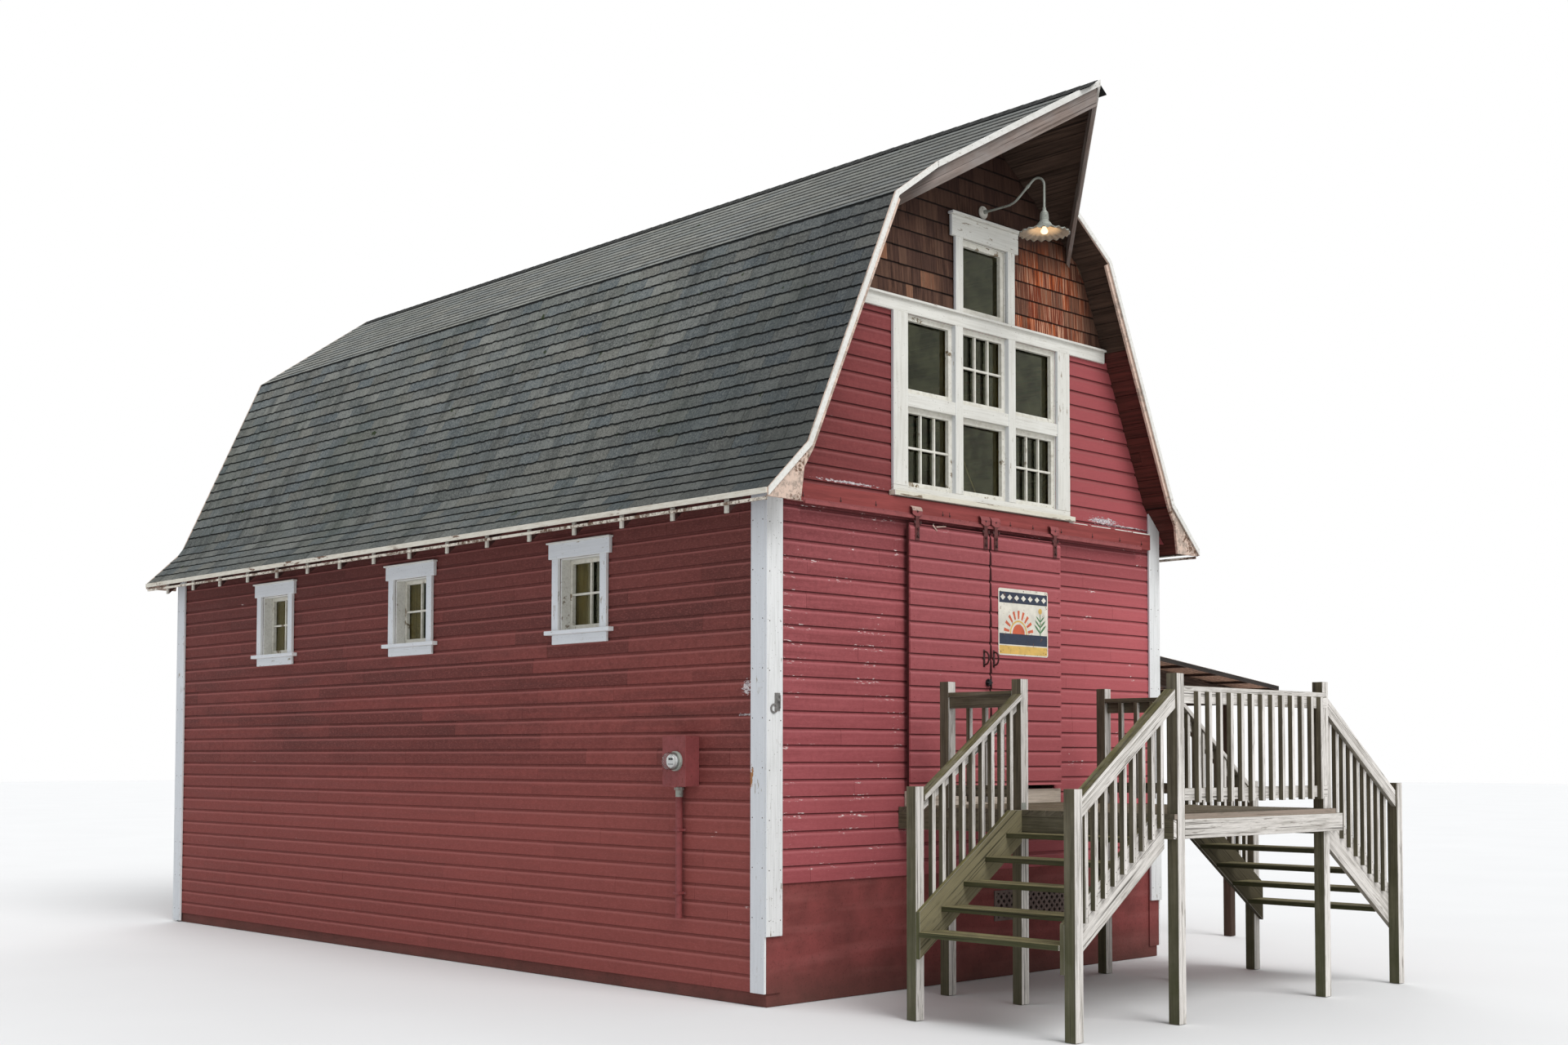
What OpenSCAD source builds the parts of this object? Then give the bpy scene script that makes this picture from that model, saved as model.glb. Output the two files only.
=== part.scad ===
// Small gambrel-roofed red barn with a prow hood over the gable, a pair of sliding doors,
// a raised deck with two flights of steps and a lean-to shed roof on the right side.
// Millimetres, +Z up, front wall facing -Y.
// Origin: centre of the foundation's footprint at the lowest ground level.

/* [Barn body] */
// Width over the siding
barn_w = 5180; // [3600:10:9000]
// Length over the siding
barn_l = 9910; // [6000:10:20000]
// Wall thickness, siding to inner lining
wall_t = 150; // [90:5:300]
// Bottom of the front siding above the lowest ground
front_sill_z = 925; // [300:5:1600]
// Bottom of the side and rear siding above the lowest ground
side_sill_z = 100; // [50:5:400]
// Inside floor level
floor_z = 1620; // [700:5:2400]
// Floor build-up
floor_t = 140; // [30:5:300]
// Split between the front wall and the gable above it
gable_split_z = 3960; // [2800:5:5000]

/* [Roof] */
// Reach of the eave tip outside the side walls
eave_out = 275; // [150:5:600]
// Height of the eave tip
eave_z = 3902; // [2600:5:5000]
// Distance of the bell-cast knee inside the side walls
knee_in = 140; // [60:5:400]
// Height of the bell-cast knee
knee_z = 4295; // [2800:5:5400]
// Distance of the gambrel break inside the side walls
break_in = 1128; // [700:2:1500]
// Height of the gambrel break
break_z = 6440; // [4000:5:9000]
// Ridge height
ridge_z = 7480; // [4500:5:11000]
// Thickness of the roof, shingles to deck
roof_t = 50; // [30:1:200]
// Overhang of the roof past the front and rear walls
gable_over = 290; // [100:5:600]
// Depth of the fascia under the eave tip
eave_fascia_h = 92; // [60:1:250]
// Spacing of the rafter tails
rafter_pitch = 635; // [300:5:1200]

/* [Hood] */
// Reach of the hood's point in front of the front wall
hood_reach = 1225; // [600:5:2500]
// Half width where the hood meets the front overhang
hood_half = 950; // [500:10:1150]
// Plumb height of the hood's fascia boards
hood_board_h = 155; // [60:5:250]
// Height of the lamp's arm where it leaves the gable, below the ridge
lamp_drop = 840; // [600:5:1100]
// Radius of the lamp's shade
shade_r = 212; // [120:2:320]

/* [Windows] */
// Side window opening width
side_win_w = 580; // [300:5:1200]
// Side window opening height
side_win_h = 650; // [300:5:1400]
// Bottom of the side window openings
side_win_z = 2960; // [1800:5:4000]
// Distance between side window centres
side_win_pitch = 2655; // [1000:5:5000]
// Number of windows in each side wall
side_win_n = 3; // [1:1:8]
// Width of the casing boards
casing_w = 90; // [40:1:200]
// Half width of the gable window group's opening
group_half = 1010; // [600:5:2000]
// Bottom of the gable window group's opening
group_z = 4110; // [3000:5:6000]
// Height of the gable window group's opening
group_h = 1465; // [800:5:3000]
// Width of the group's side casings
group_casing_w = 180; // [60:5:300]
// Bottom of the top window's opening
top_win_z = 5712; // [4000:5:9000]
// Top window opening width
top_win_w = 606; // [300:2:1200]
// Top window opening height
top_win_h = 638; // [300:2:1400]

/* [Sliding doors] */
// Doorway width
doorway_w = 1940; // [1000:10:3600]
// Top of the doorway
doorway_top_z = 3790; // [2600:5:5000]
// Position of the split between the leaves
split_x = -13; // [-200:1:200]
// Width of the left leaf
left_leaf_w = 1030; // [600:5:2000]
// Width of the right leaf
right_leaf_w = 985; // [600:5:2000]
// Bottom of the leaves
leaf_z = 1650; // [800:5:2600]
// Height of the leaves
leaf_h = 2170; // [1500:5:3500]
// Thickness of the leaves
leaf_t = 40; // [25:1:80]
// Gap between the siding and the back of the leaves
leaf_gap = 40; // [10:1:100]

/* [Deck and steps] */
// Left face of the deck's left posts
deck_x0 = -1070; // [-3000:5:0]
// Right face of the deck's right posts
deck_x1 = 1125; // [0:5:3000]
// Reach of the deck in front of the front wall
deck_reach = 2649; // [1200:5:5000]
// Depth of the narrow part of the deck beside the steps' inner edge
landing_reach = 1239; // [600:5:3000]
// Top of the deck boards
deck_z = 1490; // [600:5:2300]
// Square size of the deck posts
post = 89; // [60:1:200]
// Top of the deck's posts
post_top_z = 2498; // [1500:5:3500]
// Top of the level handrails
rail_z = 2410; // [1400:5:3400]
// Run of one step
step_run = 250; // [200:5:400]
// Rise of one step
step_rise = 170; // [100:1:220]
// Treads in each flight
step_n = 5; // [2:1:10]
// Top of the outer newels of the steps
newel_top_z = 1682; // [1300:5:2600]
// Depth of the steps' stringers, square to their slope
stringer_h = 280; // [180:5:320]

/* [Lean-to] */
// Length of the lean-to roof along the side wall
lean_l = 5000; // [2000:10:9000]
// Setback of the lean-to roof from the front wall
lean_setback = 100; // [0:10:4000]
// Reach of the lean-to roof from the side wall
lean_w = 2400; // [1000:10:4000]
// Top of the lean-to roof at the side wall
lean_z = 2905; // [2000:5:4000]
// Slope of the lean-to roof in degrees
lean_slope = 6; // [2:0.5:25]

/* [Hidden] */
half_w = barn_w / 2;
front_y = -barn_l / 2;
rear_y = barn_l / 2;
in_half = half_w - wall_t;
eave_half = half_w + eave_out;
knee_half = half_w - knee_in;
break_half = half_w - break_in;
roof_front_y = front_y - gable_over;
roof_rear_y = rear_y + gable_over;
board = 25;
leaf_y = front_y - leaf_gap - leaf_t;
leaf_top = leaf_z + leaf_h;
header_z = leaf_top + 57;
header_h = 154;
header_t = 45;
belt_z = group_z + group_h;
belt_h = 121;
lookout_x = hood_half * 0.55;
lookout_w = 135;
deck_t = 38;
lumber = 38;
joist_h = 140;
outer_y = front_y - deck_reach;
right_outer_y = outer_y + lumber;
landing_y = front_y - landing_reach;
flight_run = step_run * (step_n - 1) + 215;
rim_x0 = deck_x0 - lumber;
rim_x1 = deck_x1 + lumber;
group_top_row_z = group_z + 800;
group_rail_h = 112;
mullion_x = 357;
mullion_half = 50;
meter_set = 930;
meter_y = front_y + meter_set;
meter_z = 1658;
meter_h = 404;
conduit_l = 1046;
conduit_foot_z = meter_z - conduit_l;
clamp_low = 858;
clamp_high = 358;
pull_up = 1090;
lock_up = 882;
sign_up = 1129;
sign_w = 692;
sign_h = 582;
corner_foot = front_sill_z - 393;
lamp_z = ridge_z - lamp_drop;
lamp_rod_r = 9;
lamp_bend = 37;
lamp_bend_r = 200;
lamp_crook_r = 80;
lamp_stem = 190;
shade_h = 225;
lamp_p1 = [front_y - 270, lamp_z];
lamp_p2 = lamp_p1 + lamp_bend_r * [-sin(lamp_bend), 1 - cos(lamp_bend)];
lamp_p3 = lamp_p2 + 185 * [-cos(lamp_bend), sin(lamp_bend)];
lamp_crook = lamp_p3 - lamp_crook_r * [sin(lamp_bend), cos(lamp_bend)];
stringer_up = 90;
lean_t = 45;
lean_x0 = half_w + 24;
lean_x1 = half_w + lean_w;
lean_y0 = front_y + lean_setback;
lattice_x0 = 130;
lattice_l = 1000;
lattice_h = 260;
lattice_drop = 185;
side_win_y = [for (i = [0 : side_win_n - 1]) 15 + (i - (side_win_n - 1) / 2) * side_win_pitch];

// Straight-line helpers for the roof's cross-section
function along(a, b) = (b - a) / norm(b - a);
function inward(a, b) = [-along(a, b)[1], along(a, b)[0]];
function cross2(a, b) = a[0] * b[1] - a[1] * b[0];
function meet(p, d, q, e) = p + d * (cross2(q - p, e) / cross2(d, e));
tip = [eave_half, eave_z];
knee = [knee_half, knee_z];
brk = [break_half, break_z];
ridge = [0, ridge_z];
up = [0, 1];
// Roof line moved inwards by t: eave, knee, break and ridge points
function under(t) = [
    meet(tip + inward(tip, knee) * t, along(tip, knee), tip, up),
    meet(tip + inward(tip, knee) * t, along(tip, knee), knee + inward(knee, brk) * t, along(knee, brk)),
    meet(knee + inward(knee, brk) * t, along(knee, brk), brk + inward(brk, ridge) * t, along(brk, ridge)),
    meet(brk + inward(brk, ridge) * t, along(brk, ridge), ridge, up)
];
inner = under(roof_t);
upper_slope = atan2(ridge_z - break_z, break_half);

// Top of the lean-to's roof at x
function lean_top(x) = lean_z - (x - half_w) * tan(lean_slope);

// Half width of the space under the roof at height z
function half_at(z) =
    z < inner[1][1]
        ? meet(inner[0], along(inner[0], inner[1]), [0, z], [1, 0])[0]
        : z < inner[2][1]
            ? meet(inner[1], along(inner[1], inner[2]), [0, z], [1, 0])[0]
            : meet(inner[2], along(inner[2], inner[3]), [0, z], [1, 0])[0];

// Block between two corners
module block(a, b) {
    translate(a) cube(b - a);
}

// Cross-section in X and Z drawn out along Y
module along_y(y0, y1) {
    translate([0, y1, 0]) rotate([90, 0, 0]) linear_extrude(y1 - y0) children();
}

// Cross-section in Y and Z drawn out along X
module along_x(x0, x1) {
    translate([x0, 0, 0]) rotate([90, 0, 90]) linear_extrude(x1 - x0) children();
}

// Both sides of the barn's centre plane
module both() {
    children();
    mirror([1, 0, 0]) children();
}

module under_roof(gap = 0.2) {
    p = under(roof_t + gap);
    polygon([
        [half_w, 0], [half_w, meet(p[0], along(p[0], p[1]), [half_w, 0], up)[1]], p[1], p[2], p[3],
        [-p[2][0], p[2][1]], [-p[1][0], p[1][1]],
        [-half_w, meet(p[0], along(p[0], p[1]), [half_w, 0], up)[1]], [-half_w, 0]
    ]);
}

module foundation() {
    color("firebrick") difference() {
        block([-half_w + 15, front_y + 15, 0], [half_w - 15, rear_y - 15, side_sill_z]);
        block([-in_half, front_y + wall_t, -1], [in_half, rear_y - wall_t, side_sill_z + 1]);
    }
    color("firebrick")
        block([-in_half, front_y + 15, side_sill_z - 1], [in_half, front_y + wall_t, front_sill_z]);
}

module floor() {
    color("tan") block([-in_half, front_y + wall_t, floor_z - floor_t], [in_half, rear_y - wall_t, floor_z]);
}

module front_wall_left() {
    color("firebrick")
        block([-in_half, front_y, front_sill_z], [-doorway_w / 2, front_y + wall_t, gable_split_z]);
}

module front_wall_right() {
    color("firebrick")
        block([doorway_w / 2, front_y, front_sill_z], [in_half, front_y + wall_t, gable_split_z]);
}

module front_wall_over_door() {
    color("firebrick")
        block([-doorway_w / 2, front_y, doorway_top_z], [doorway_w / 2, front_y + wall_t, gable_split_z]);
}

module front_wall_under_door() {
    color("firebrick")
        block([-doorway_w / 2, front_y, front_sill_z], [doorway_w / 2, front_y + wall_t, floor_z]);
}

// Gable of either end, with its window openings
module gable(y0) {
    difference() {
        along_y(y0, y0 + wall_t) intersection() {
            under_roof();
            translate([-in_half, gable_split_z]) square([2 * in_half, ridge_z]);
        }
        children();
    }
}

module front_gable() {
    color("firebrick") gable(front_y) {
        block([-group_half, front_y - 1, group_z], [group_half, front_y + wall_t + 1, belt_z]);
        block(
            [-top_win_w / 2, front_y - 1, top_win_z],
            [top_win_w / 2, front_y + wall_t + 1, top_win_z + top_win_h]
        );
    }
}

module rear_wall() {
    color("firebrick") difference() {
        block([-in_half, rear_y - wall_t, side_sill_z], [in_half, rear_y, gable_split_z]);
        for (x = [-1, 1] * barn_w / 4)
            block(
                [x - side_win_w / 2, rear_y - wall_t - 1, side_win_z],
                [x + side_win_w / 2, rear_y + 1, side_win_z + side_win_h]
            );
    }
}

module rear_gable() {
    color("firebrick") gable(rear_y - wall_t)
        block(
            [-top_win_w / 2, rear_y - wall_t - 1, top_win_z],
            [top_win_w / 2, rear_y + 1, top_win_z + top_win_h]
        );
}

module side_wall() {
    difference() {
        along_y(front_y, rear_y) intersection() {
            under_roof();
            translate([-half_w, side_sill_z]) square([wall_t, ridge_z]);
        }
        for (y = side_win_y)
            block(
                [-half_w - 1, y - side_win_w / 2, side_win_z],
                [-in_half + 1, y + side_win_w / 2, side_win_z + side_win_h]
            );
    }
}

module left_wall() {
    color("firebrick") side_wall();
}

module right_wall() {
    color("firebrick") mirror([1, 0, 0]) side_wall();
}

// Steep slope with its bell-cast foot, right side
module lower_roof() {
    along_y(roof_front_y, roof_rear_y)
        polygon([tip, knee, brk, inner[2], inner[1], inner[0]]);
}

module roof_lower_left() {
    color("dimgray") mirror([1, 0, 0]) lower_roof();
}

module roof_lower_right() {
    color("dimgray") lower_roof();
}

// Upper slope of the right side, its plan drawn forward to the hood's point
module upper_roof() {
    intersection() {
        along_y(front_y - hood_reach - 10, roof_rear_y) polygon([brk, ridge, inner[3], inner[2]]);
        linear_extrude(ridge_z + 10)
            polygon([
                [0, roof_rear_y], [break_half + 10, roof_rear_y], [break_half + 10, roof_front_y],
                [hood_half, roof_front_y], [0, front_y - hood_reach]
            ]);
    }
}

module roof_upper_left() {
    color("dimgray") mirror([1, 0, 0]) upper_roof();
}

module roof_upper_right() {
    color("dimgray") upper_roof();
}

// Strip under the upper slope from depth a to depth b
module under_upper(a, b) {
    p = under(a);
    q = under(b);
    polygon([p[2], p[3], q[3], q[2]]);
}

// Strip of the right upper slope between plumb depths a and b
module plumb_strip(a, b) {
    polygon([brk - [0, a], ridge - [0, a], ridge - [0, b], brk - [0, b]]);
}

// Half width of the hood's plan at a distance y from the front wall, moved in by t
function hood_x(y, t) = (y + hood_reach - t) * hood_half / (hood_reach - gable_over);

// Plan of a strip along the hood's right edge, between distances a and b behind its point
module hood_plan(a, b) {
    polygon([
        [0, front_y - hood_reach + a], [hood_x(0, a), front_y],
        [hood_x(0, b), front_y], [0, front_y - hood_reach + b]
    ]);
}

// Fascia boards of the hood, running back under the overhang to the wall
module hood_fascia() {
    color("rosybrown") both() intersection() {
        along_y(front_y - hood_reach, front_y) plumb_strip(roof_t / cos(upper_slope), roof_t / cos(upper_slope) + hood_board_h);
        linear_extrude(ridge_z + 10) hood_plan(12, 56);
    }
}

// Ridge timber and flat lookouts under the hood
module hood_timbers() {
    top = inner[3][1];
    fall = 20 * tan(upper_slope);
    color("saddlebrown") along_y(front_y - hood_reach + 90, front_y)
        polygon([[0, top], [20, top - fall], [20, top - 150], [-20, top - 150], [-20, top - fall]]);
    color("saddlebrown") both() intersection() {
        along_y(front_y - hood_reach, front_y) intersection() {
            under_upper(roof_t, roof_t + board);
            translate([lookout_x, 0]) square([lookout_w, ridge_z]);
        }
        linear_extrude(ridge_z + 10) polygon([
            [0, front_y - hood_reach + 56], [hood_x(0, 56), front_y], [0, front_y]
        ]);
    }
}

// Strips along the roof's edge between depths a and b, right side, lower slopes only
module lower_strip(a, b) {
    p = a == 0 ? [tip, knee, brk] : under(a);
    q = under(b);
    polygon([p[0], p[1], p[2], q[2], q[1], q[0]]);
}

module upper_strip(a, b, x0) {
    intersection() {
        polygon(concat(a == 0 ? [brk, ridge] : [under(a)[2], under(a)[3]], [under(b)[3], under(b)[2]]));
        translate([x0, 0]) square([break_half + 50, ridge_z + 10]);
    }
}

// Plywood plate closing the bell-cast end
module return_plate() {
    p = under(roof_t);
    q = under(roof_t + 34);
    polygon([p[0], p[1], q[1], [knee_half + 30, knee_z - 205], [knee_half + 66, p[0][1]]]);
}

// Strip of the steep slope's edge between depths a and b, right side
module steep_strip(a, b) {
    polygon([under(a)[1], under(a)[2], under(b)[2], under(b)[1]]);
}

module rake_boards() {
    color("white") both() {
        along_y(roof_front_y - 22, roof_front_y) lower_strip(4, 47);
        along_y(roof_rear_y, roof_rear_y + 22) lower_strip(4, 47);
        along_y(roof_front_y - 22, roof_front_y) upper_strip(4, 47, hood_half + 1);
        along_y(roof_rear_y, roof_rear_y + 22) upper_strip(4, 47, 0);
        intersection() {
            along_y(front_y - hood_reach - 40, roof_front_y) under_upper(4, 47);
            linear_extrude(ridge_z + 10) intersection() {
                hood_plan(-28, -0.2);
                translate([0, front_y - hood_reach - 40]) square([hood_half, hood_reach + 40]);
            }
        }
    }
    color("tan") both() {
        along_y(roof_front_y - 4, roof_front_y + 18) steep_strip(roof_t, roof_t + 34);
        along_y(roof_rear_y - 18, roof_rear_y + 4) steep_strip(roof_t, roof_t + 34);
        along_y(roof_rear_y - 18, roof_rear_y + 4) upper_strip(roof_t, roof_t + 34, 0);
    }
}

module eave_boards() {
    color("white") both() {
        block([eave_half, roof_front_y, eave_z - 47], [eave_half + 14, roof_rear_y, eave_z - 4]);
        block(
            [eave_half - 22, roof_front_y + 20, eave_z - eave_fascia_h],
            [eave_half, roof_rear_y - 20, inner[0][1] - 1]
        );
    }
    color("tan") both() {
        along_y(roof_front_y - 4, roof_front_y + 18) return_plate();
        along_y(roof_rear_y - 18, roof_rear_y + 4) return_plate();
    }
}

// Rafter ends between the wall and the fascia
module rafter_tails() {
    n = floor((barn_l - 300) / rafter_pitch);
    color("white") both() for (i = [0 : n]) {
        y = (i - n / 2) * rafter_pitch;
        along_y(y - 19, y + 19) intersection() {
            polygon([under(roof_t + 0)[0], under(roof_t + 0)[1], under(roof_t + 85)[1], under(roof_t + 85)[0]]);
            translate([half_w, eave_z - 150]) square([eave_half - half_w - 23, 600]);
        }
    }
}

module corner_boards() {
    p = under(roof_t + 2);
    function top_at(x) = meet(p[0], along(p[0], p[1]), [x, 0], up)[1];
    x0 = half_w - 150;
    x1 = half_w + 22;
    color("white") both() {
        along_y(front_y - 22, front_y)
            polygon([[x0, corner_foot], [x1, corner_foot], [x1, top_at(x1)], [x0, top_at(x0)]]);
        along_y(front_y, front_y + 160)
            polygon([[half_w, side_sill_z], [x1, side_sill_z], [x1, top_at(x1)], [half_w, top_at(half_w)]]);
        along_y(rear_y - 160, rear_y)
            polygon([[half_w, 10], [x1, 10], [x1, top_at(x1)], [half_w, top_at(half_w)]]);
        along_y(rear_y, rear_y + 22) polygon([[x0, 10], [x1, 10], [x1, top_at(x1)], [x0, top_at(x0)]]);
    }
}

module belt_boards() {
    w0 = half_at(belt_z + belt_h) - 12;
    color("white") {
        block([-w0, front_y - board, belt_z], [w0, front_y, belt_z + belt_h]);
        block([-w0, front_y - 50, belt_z + belt_h - 16], [w0, front_y - board, belt_z + belt_h + 4]);
    }
}

// Casing round the top window of either gable, facing -Y, with its jambs from the height foot
module top_window_casing(foot) {
    w = top_win_w / 2;
    head_z = top_win_z + top_win_h;
    for (s = [0, 1])
        mirror([s, 0, 0]) block([w, -30, foot], [w + 97, 0, head_z]);
    block([-w - 148, -30, head_z], [w + 148, 0, head_z + 180]);
    block([-w - 167, -60, head_z + 180], [w + 167, 0, head_z + 205]);
}

module gable_window_casing() {
    y0 = front_y - 30;
    side = group_half + group_casing_w;
    color("white") {
        for (s = [0, 1]) mirror([s, 0, 0]) {
            block([group_half, y0, group_z - 1], [side, front_y, belt_z]);
            block([mullion_x - mullion_half, y0, group_z], [mullion_x + mullion_half, front_y + 60, belt_z]);
        }
        block([-group_half, y0 + 4, group_top_row_z - group_rail_h], [group_half, front_y + 60, group_top_row_z]);
        block([-side - 26, front_y - 70, group_z - 74], [side + 26, front_y, group_z - 30]);
        block([-side, y0, group_z - 31], [side, front_y, group_z + 20]);
        block([-group_half, front_y - 5, group_z], [group_half, front_y + 60, group_z + 20]);
        translate([0, front_y, 0]) top_window_casing(belt_z + belt_h + 4);
        translate([0, rear_y, 0]) rotate([0, 0, 180]) {
            top_window_casing(top_win_z);
            block([-top_win_w / 2 - 120, -50, top_win_z - 40], [top_win_w / 2 + 120, 0, top_win_z]);
        }
    }
}

// Sash ring that fills an opening in a wall facing Y
module ring_y(x0, x1, z0, z1, y0, y1, w) {
    difference() {
        block([x0, y0, z0], [x1, y1, z1]);
        block([x0 + w, y0 - 1, z0 + w], [x1 - w, y1 + 1, z1 - w]);
    }
}

module gable_window_sashes() {
    columns = [
        [-group_half, -mullion_x - mullion_half],
        [-mullion_x + mullion_half, mullion_x - mullion_half],
        [mullion_x + mullion_half, group_half]
    ];
    rows = [[group_z + 20, group_top_row_z - group_rail_h], [group_top_row_z, belt_z]];
    w = top_win_w / 2;
    color("white") for (c = columns, r = rows)
        ring_y(c[0], c[1], r[0], r[1], front_y + 15, front_y + 50, 45);
    color("white") for (y = [front_y + 20, rear_y - 55])
        ring_y(-w, w, top_win_z, top_win_z + top_win_h, y, y + 35, 50);
}

module gable_window_glass() {
    w = top_win_w / 2;
    color("lightblue") {
        block([-group_half, front_y + 62, group_z + 25], [group_half, front_y + 68, belt_z - 5]);
        for (y = [front_y + 57, rear_y - 63])
            block([-w, y, top_win_z + 5], [w, y + 6, top_win_z + top_win_h - 5]);
    }
}

// Casing round a side window: origin at the opening's bottom centre on the wall face, outwards -X
module side_casing(apron) {
    w = side_win_w / 2;
    h = side_win_h;
    for (s = [0, 1])
        mirror([0, s, 0]) block([-30, w, 0], [0, w + casing_w, h]);
    block([-34, -w - casing_w - 45, h], [0, w + casing_w + 45, h + 130]);
    block([-52, -w - casing_w - 60, h + 130], [0, w + casing_w + 60, h + 146]);
    block([-60, -w - casing_w - 70, -12], [0, w + casing_w + 70, 24]);
    block([-1, -w, 0], [95, w, 24]);
    if (apron)
        block([-25, -w - casing_w, -95], [0, w + casing_w, -12]);
}

module side_sash() {
    w = side_win_w / 2;
    translate([100, 0, 0]) difference() {
        block([0, -w, 24], [35, w, side_win_h]);
        block([-1, -w + 42, 24 + 50], [36, w - 42, side_win_h - 42]);
    }
}

// Every small window's place on the four walls, outwards -X
module each_left_window() {
    for (y = side_win_y) translate([-half_w, y, side_win_z]) children();
}

module each_other_window() {
    mirror([1, 0, 0]) each_left_window() children();
    for (x = [-1, 1] * barn_w / 4)
        translate([x, rear_y, side_win_z]) rotate([0, 0, -90]) children();
}

module window_casings() {
    color("white") {
        each_left_window() side_casing(true);
        each_other_window() side_casing(false);
    }
}

module window_sashes() {
    color("white") {
        each_left_window() side_sash();
        each_other_window() side_sash();
    }
}

module window_pane() {
    block([136, -side_win_w / 2, 26], [142, side_win_w / 2, side_win_h - 2]);
}

module window_glass() {
    color("lightblue") {
        each_left_window() window_pane();
        each_other_window() window_pane();
    }
}

module track_header_board() {
    color("firebrick")
        block([165 - half_w, front_y - header_t, header_z], [half_w - 165, front_y, header_z + header_h]);
}

// Track along the foot of the header board: plate, ledge and upturned lip
module door_rail() {
    reach = half_w - 340;
    y = front_y - header_t;
    color("brown") along_x(-reach, reach) polygon([
        [y, header_z - 15], [y, header_z + 30], [y - 4, header_z + 30], [y - 4, header_z - 7],
        [y - 22, header_z - 7], [y - 22, header_z + 13], [y - 26, header_z + 13], [y - 26, header_z - 15]
    ]);
}

// Leaf from x0 to x1
module leaf(x0, x1) {
    block([x0, leaf_y, leaf_z], [x1, leaf_y + leaf_t, leaf_z + leaf_h]);
}

module left_door() {
    color("firebrick") leaf(split_x - 3 - left_leaf_w, split_x - 3);
}

module right_door() {
    color("firebrick") leaf(split_x + 3, split_x + 3 + right_leaf_w);
}

// Hanger: strap on the leaf, covered housing and grooved wheel above the track's lip
module hanger(x) {
    wheel_z = header_z + 42;
    translate([x, leaf_y, 0]) {
        block([-24, -8, leaf_top - 140], [24, 0, leaf_top + 20]);
        block([-60, -8, leaf_top + 5], [60, 0, leaf_top + 145]);
        block([-60, -8, leaf_top + 139], [60, 28, leaf_top + 145]);
        translate([0, -1, wheel_z]) rotate([-90, 0, 0]) cylinder(r = 6, h = 24, $fn = 24);
        translate([0, 6, wheel_z]) rotate([-90, 0, 0]) rotate_extrude($fn = 64)
            polygon([[0, 0], [24, 0], [20, 6], [24, 12], [0, 12]]);
    }
}

module left_door_hangers() {
    color("brown") {
        hanger(split_x - 3 - left_leaf_w + 86);
        hanger(split_x - 67);
    }
}

module right_door_hangers() {
    color("brown") {
        hanger(split_x + 71);
        hanger(split_x + 3 + right_leaf_w - 85);
    }
}

// Bowed pull handle
module pull(x) {
    translate([x, leaf_y, leaf_z + pull_up]) {
        for (s = [-1, 1])
            translate([0, 0, s * 55]) rotate([90, 0, 0]) cylinder(r = 13, h = 4, $fn = 32);
        translate([0, -3, 0]) rotate([0, 90, 0]) rotate([0, 0, 180]) rotate_extrude(angle = 180, $fn = 64)
            translate([55, 0]) circle(r = 6, $fn = 24);
    }
}

module left_door_handle() {
    color("brown") pull(split_x - 92);
}

module right_door_handle() {
    color("brown") pull(split_x + 38);
}

// Knobbed lock on the left leaf beside the split
module door_lock() {
    color("black") translate([split_x - 45, leaf_y, leaf_z + lock_up]) rotate([90, 0, 0]) {
        cylinder(r = 38, h = 16, $fn = 48);
        translate([0, 0, 16]) cylinder(r = 22, h = 20, $fn = 48);
    }
}

module tin_sign() {
    color("ivory") translate([split_x + 101, leaf_y - 3, leaf_z + sign_up]) cube([sign_w, 3, sign_h]);
}

// Rod between two points of the plane through the ridge, given as [y, z]
module rod(a, b) {
    d = b - a;
    translate([a[0], a[1], 0]) rotate([0, 0, atan2(d[1], d[0])]) rotate([0, 90, 0])
        cylinder(r = lamp_rod_r, h = norm(d), $fn = 32);
}

// Bent rod of radius r about a centre, from one angle through a sweep
module bend(c, r, from, sweep) {
    translate([c[0], c[1], 0]) rotate([0, 0, from]) rotate_extrude(angle = sweep, $fn = 96)
        translate([r, 0]) circle(r = lamp_rod_r, $fn = 32);
}

// Welded knuckle where a straight length meets a bend
module knuckle(p) {
    translate([p[0], p[1], 0]) sphere(r = lamp_rod_r + 1, $fn = 48);
}

// Goose-neck out of the gable: straight, bent up, over the crook and down to the shade
module lamp_arm() {
    color("silver") rotate([90, 0, 90]) {
        rod([front_y - 10, lamp_z], lamp_p1);
        bend(lamp_p1 + [0, lamp_bend_r], lamp_bend_r, 270 - lamp_bend, lamp_bend);
        rod(lamp_p2, lamp_p3);
        bend(lamp_crook, lamp_crook_r, 90 - lamp_bend, 90 + lamp_bend);
        rod(lamp_crook - [lamp_crook_r, 0], lamp_crook - [lamp_crook_r, lamp_stem]);
        for (p = [lamp_p1, lamp_p2, lamp_p3, lamp_crook - [lamp_crook_r, 0]])
            knuckle(p);
    }
    color("silver") translate([0, front_y, lamp_z]) rotate([90, 0, 0]) cylinder(r = 58, h = 18, $fn = 48);
}

// Shallow shade with its ribbed neck, and the bulb inside
module lamp_shade() {
    translate([0, lamp_crook[0] - lamp_crook_r, lamp_crook[1] - lamp_stem - shade_h]) {
        color("gray") rotate_extrude($fn = 96)
            polygon([
                [0, shade_h], [14, shade_h], [16, shade_h - 25], [30, shade_h - 43], [34, shade_h - 85],
                [46, shade_h - 125], [60, 82], [60, 72],
                [shade_r, 6], [shade_r + 2, 2], [shade_r - 2, 0], [54, 64], [38, 90], [0, 90]
            ]);
        color("ivory") translate([0, 0, 22]) cylinder(r = 30, h = 69, $fn = 48);
    }
}

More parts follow.
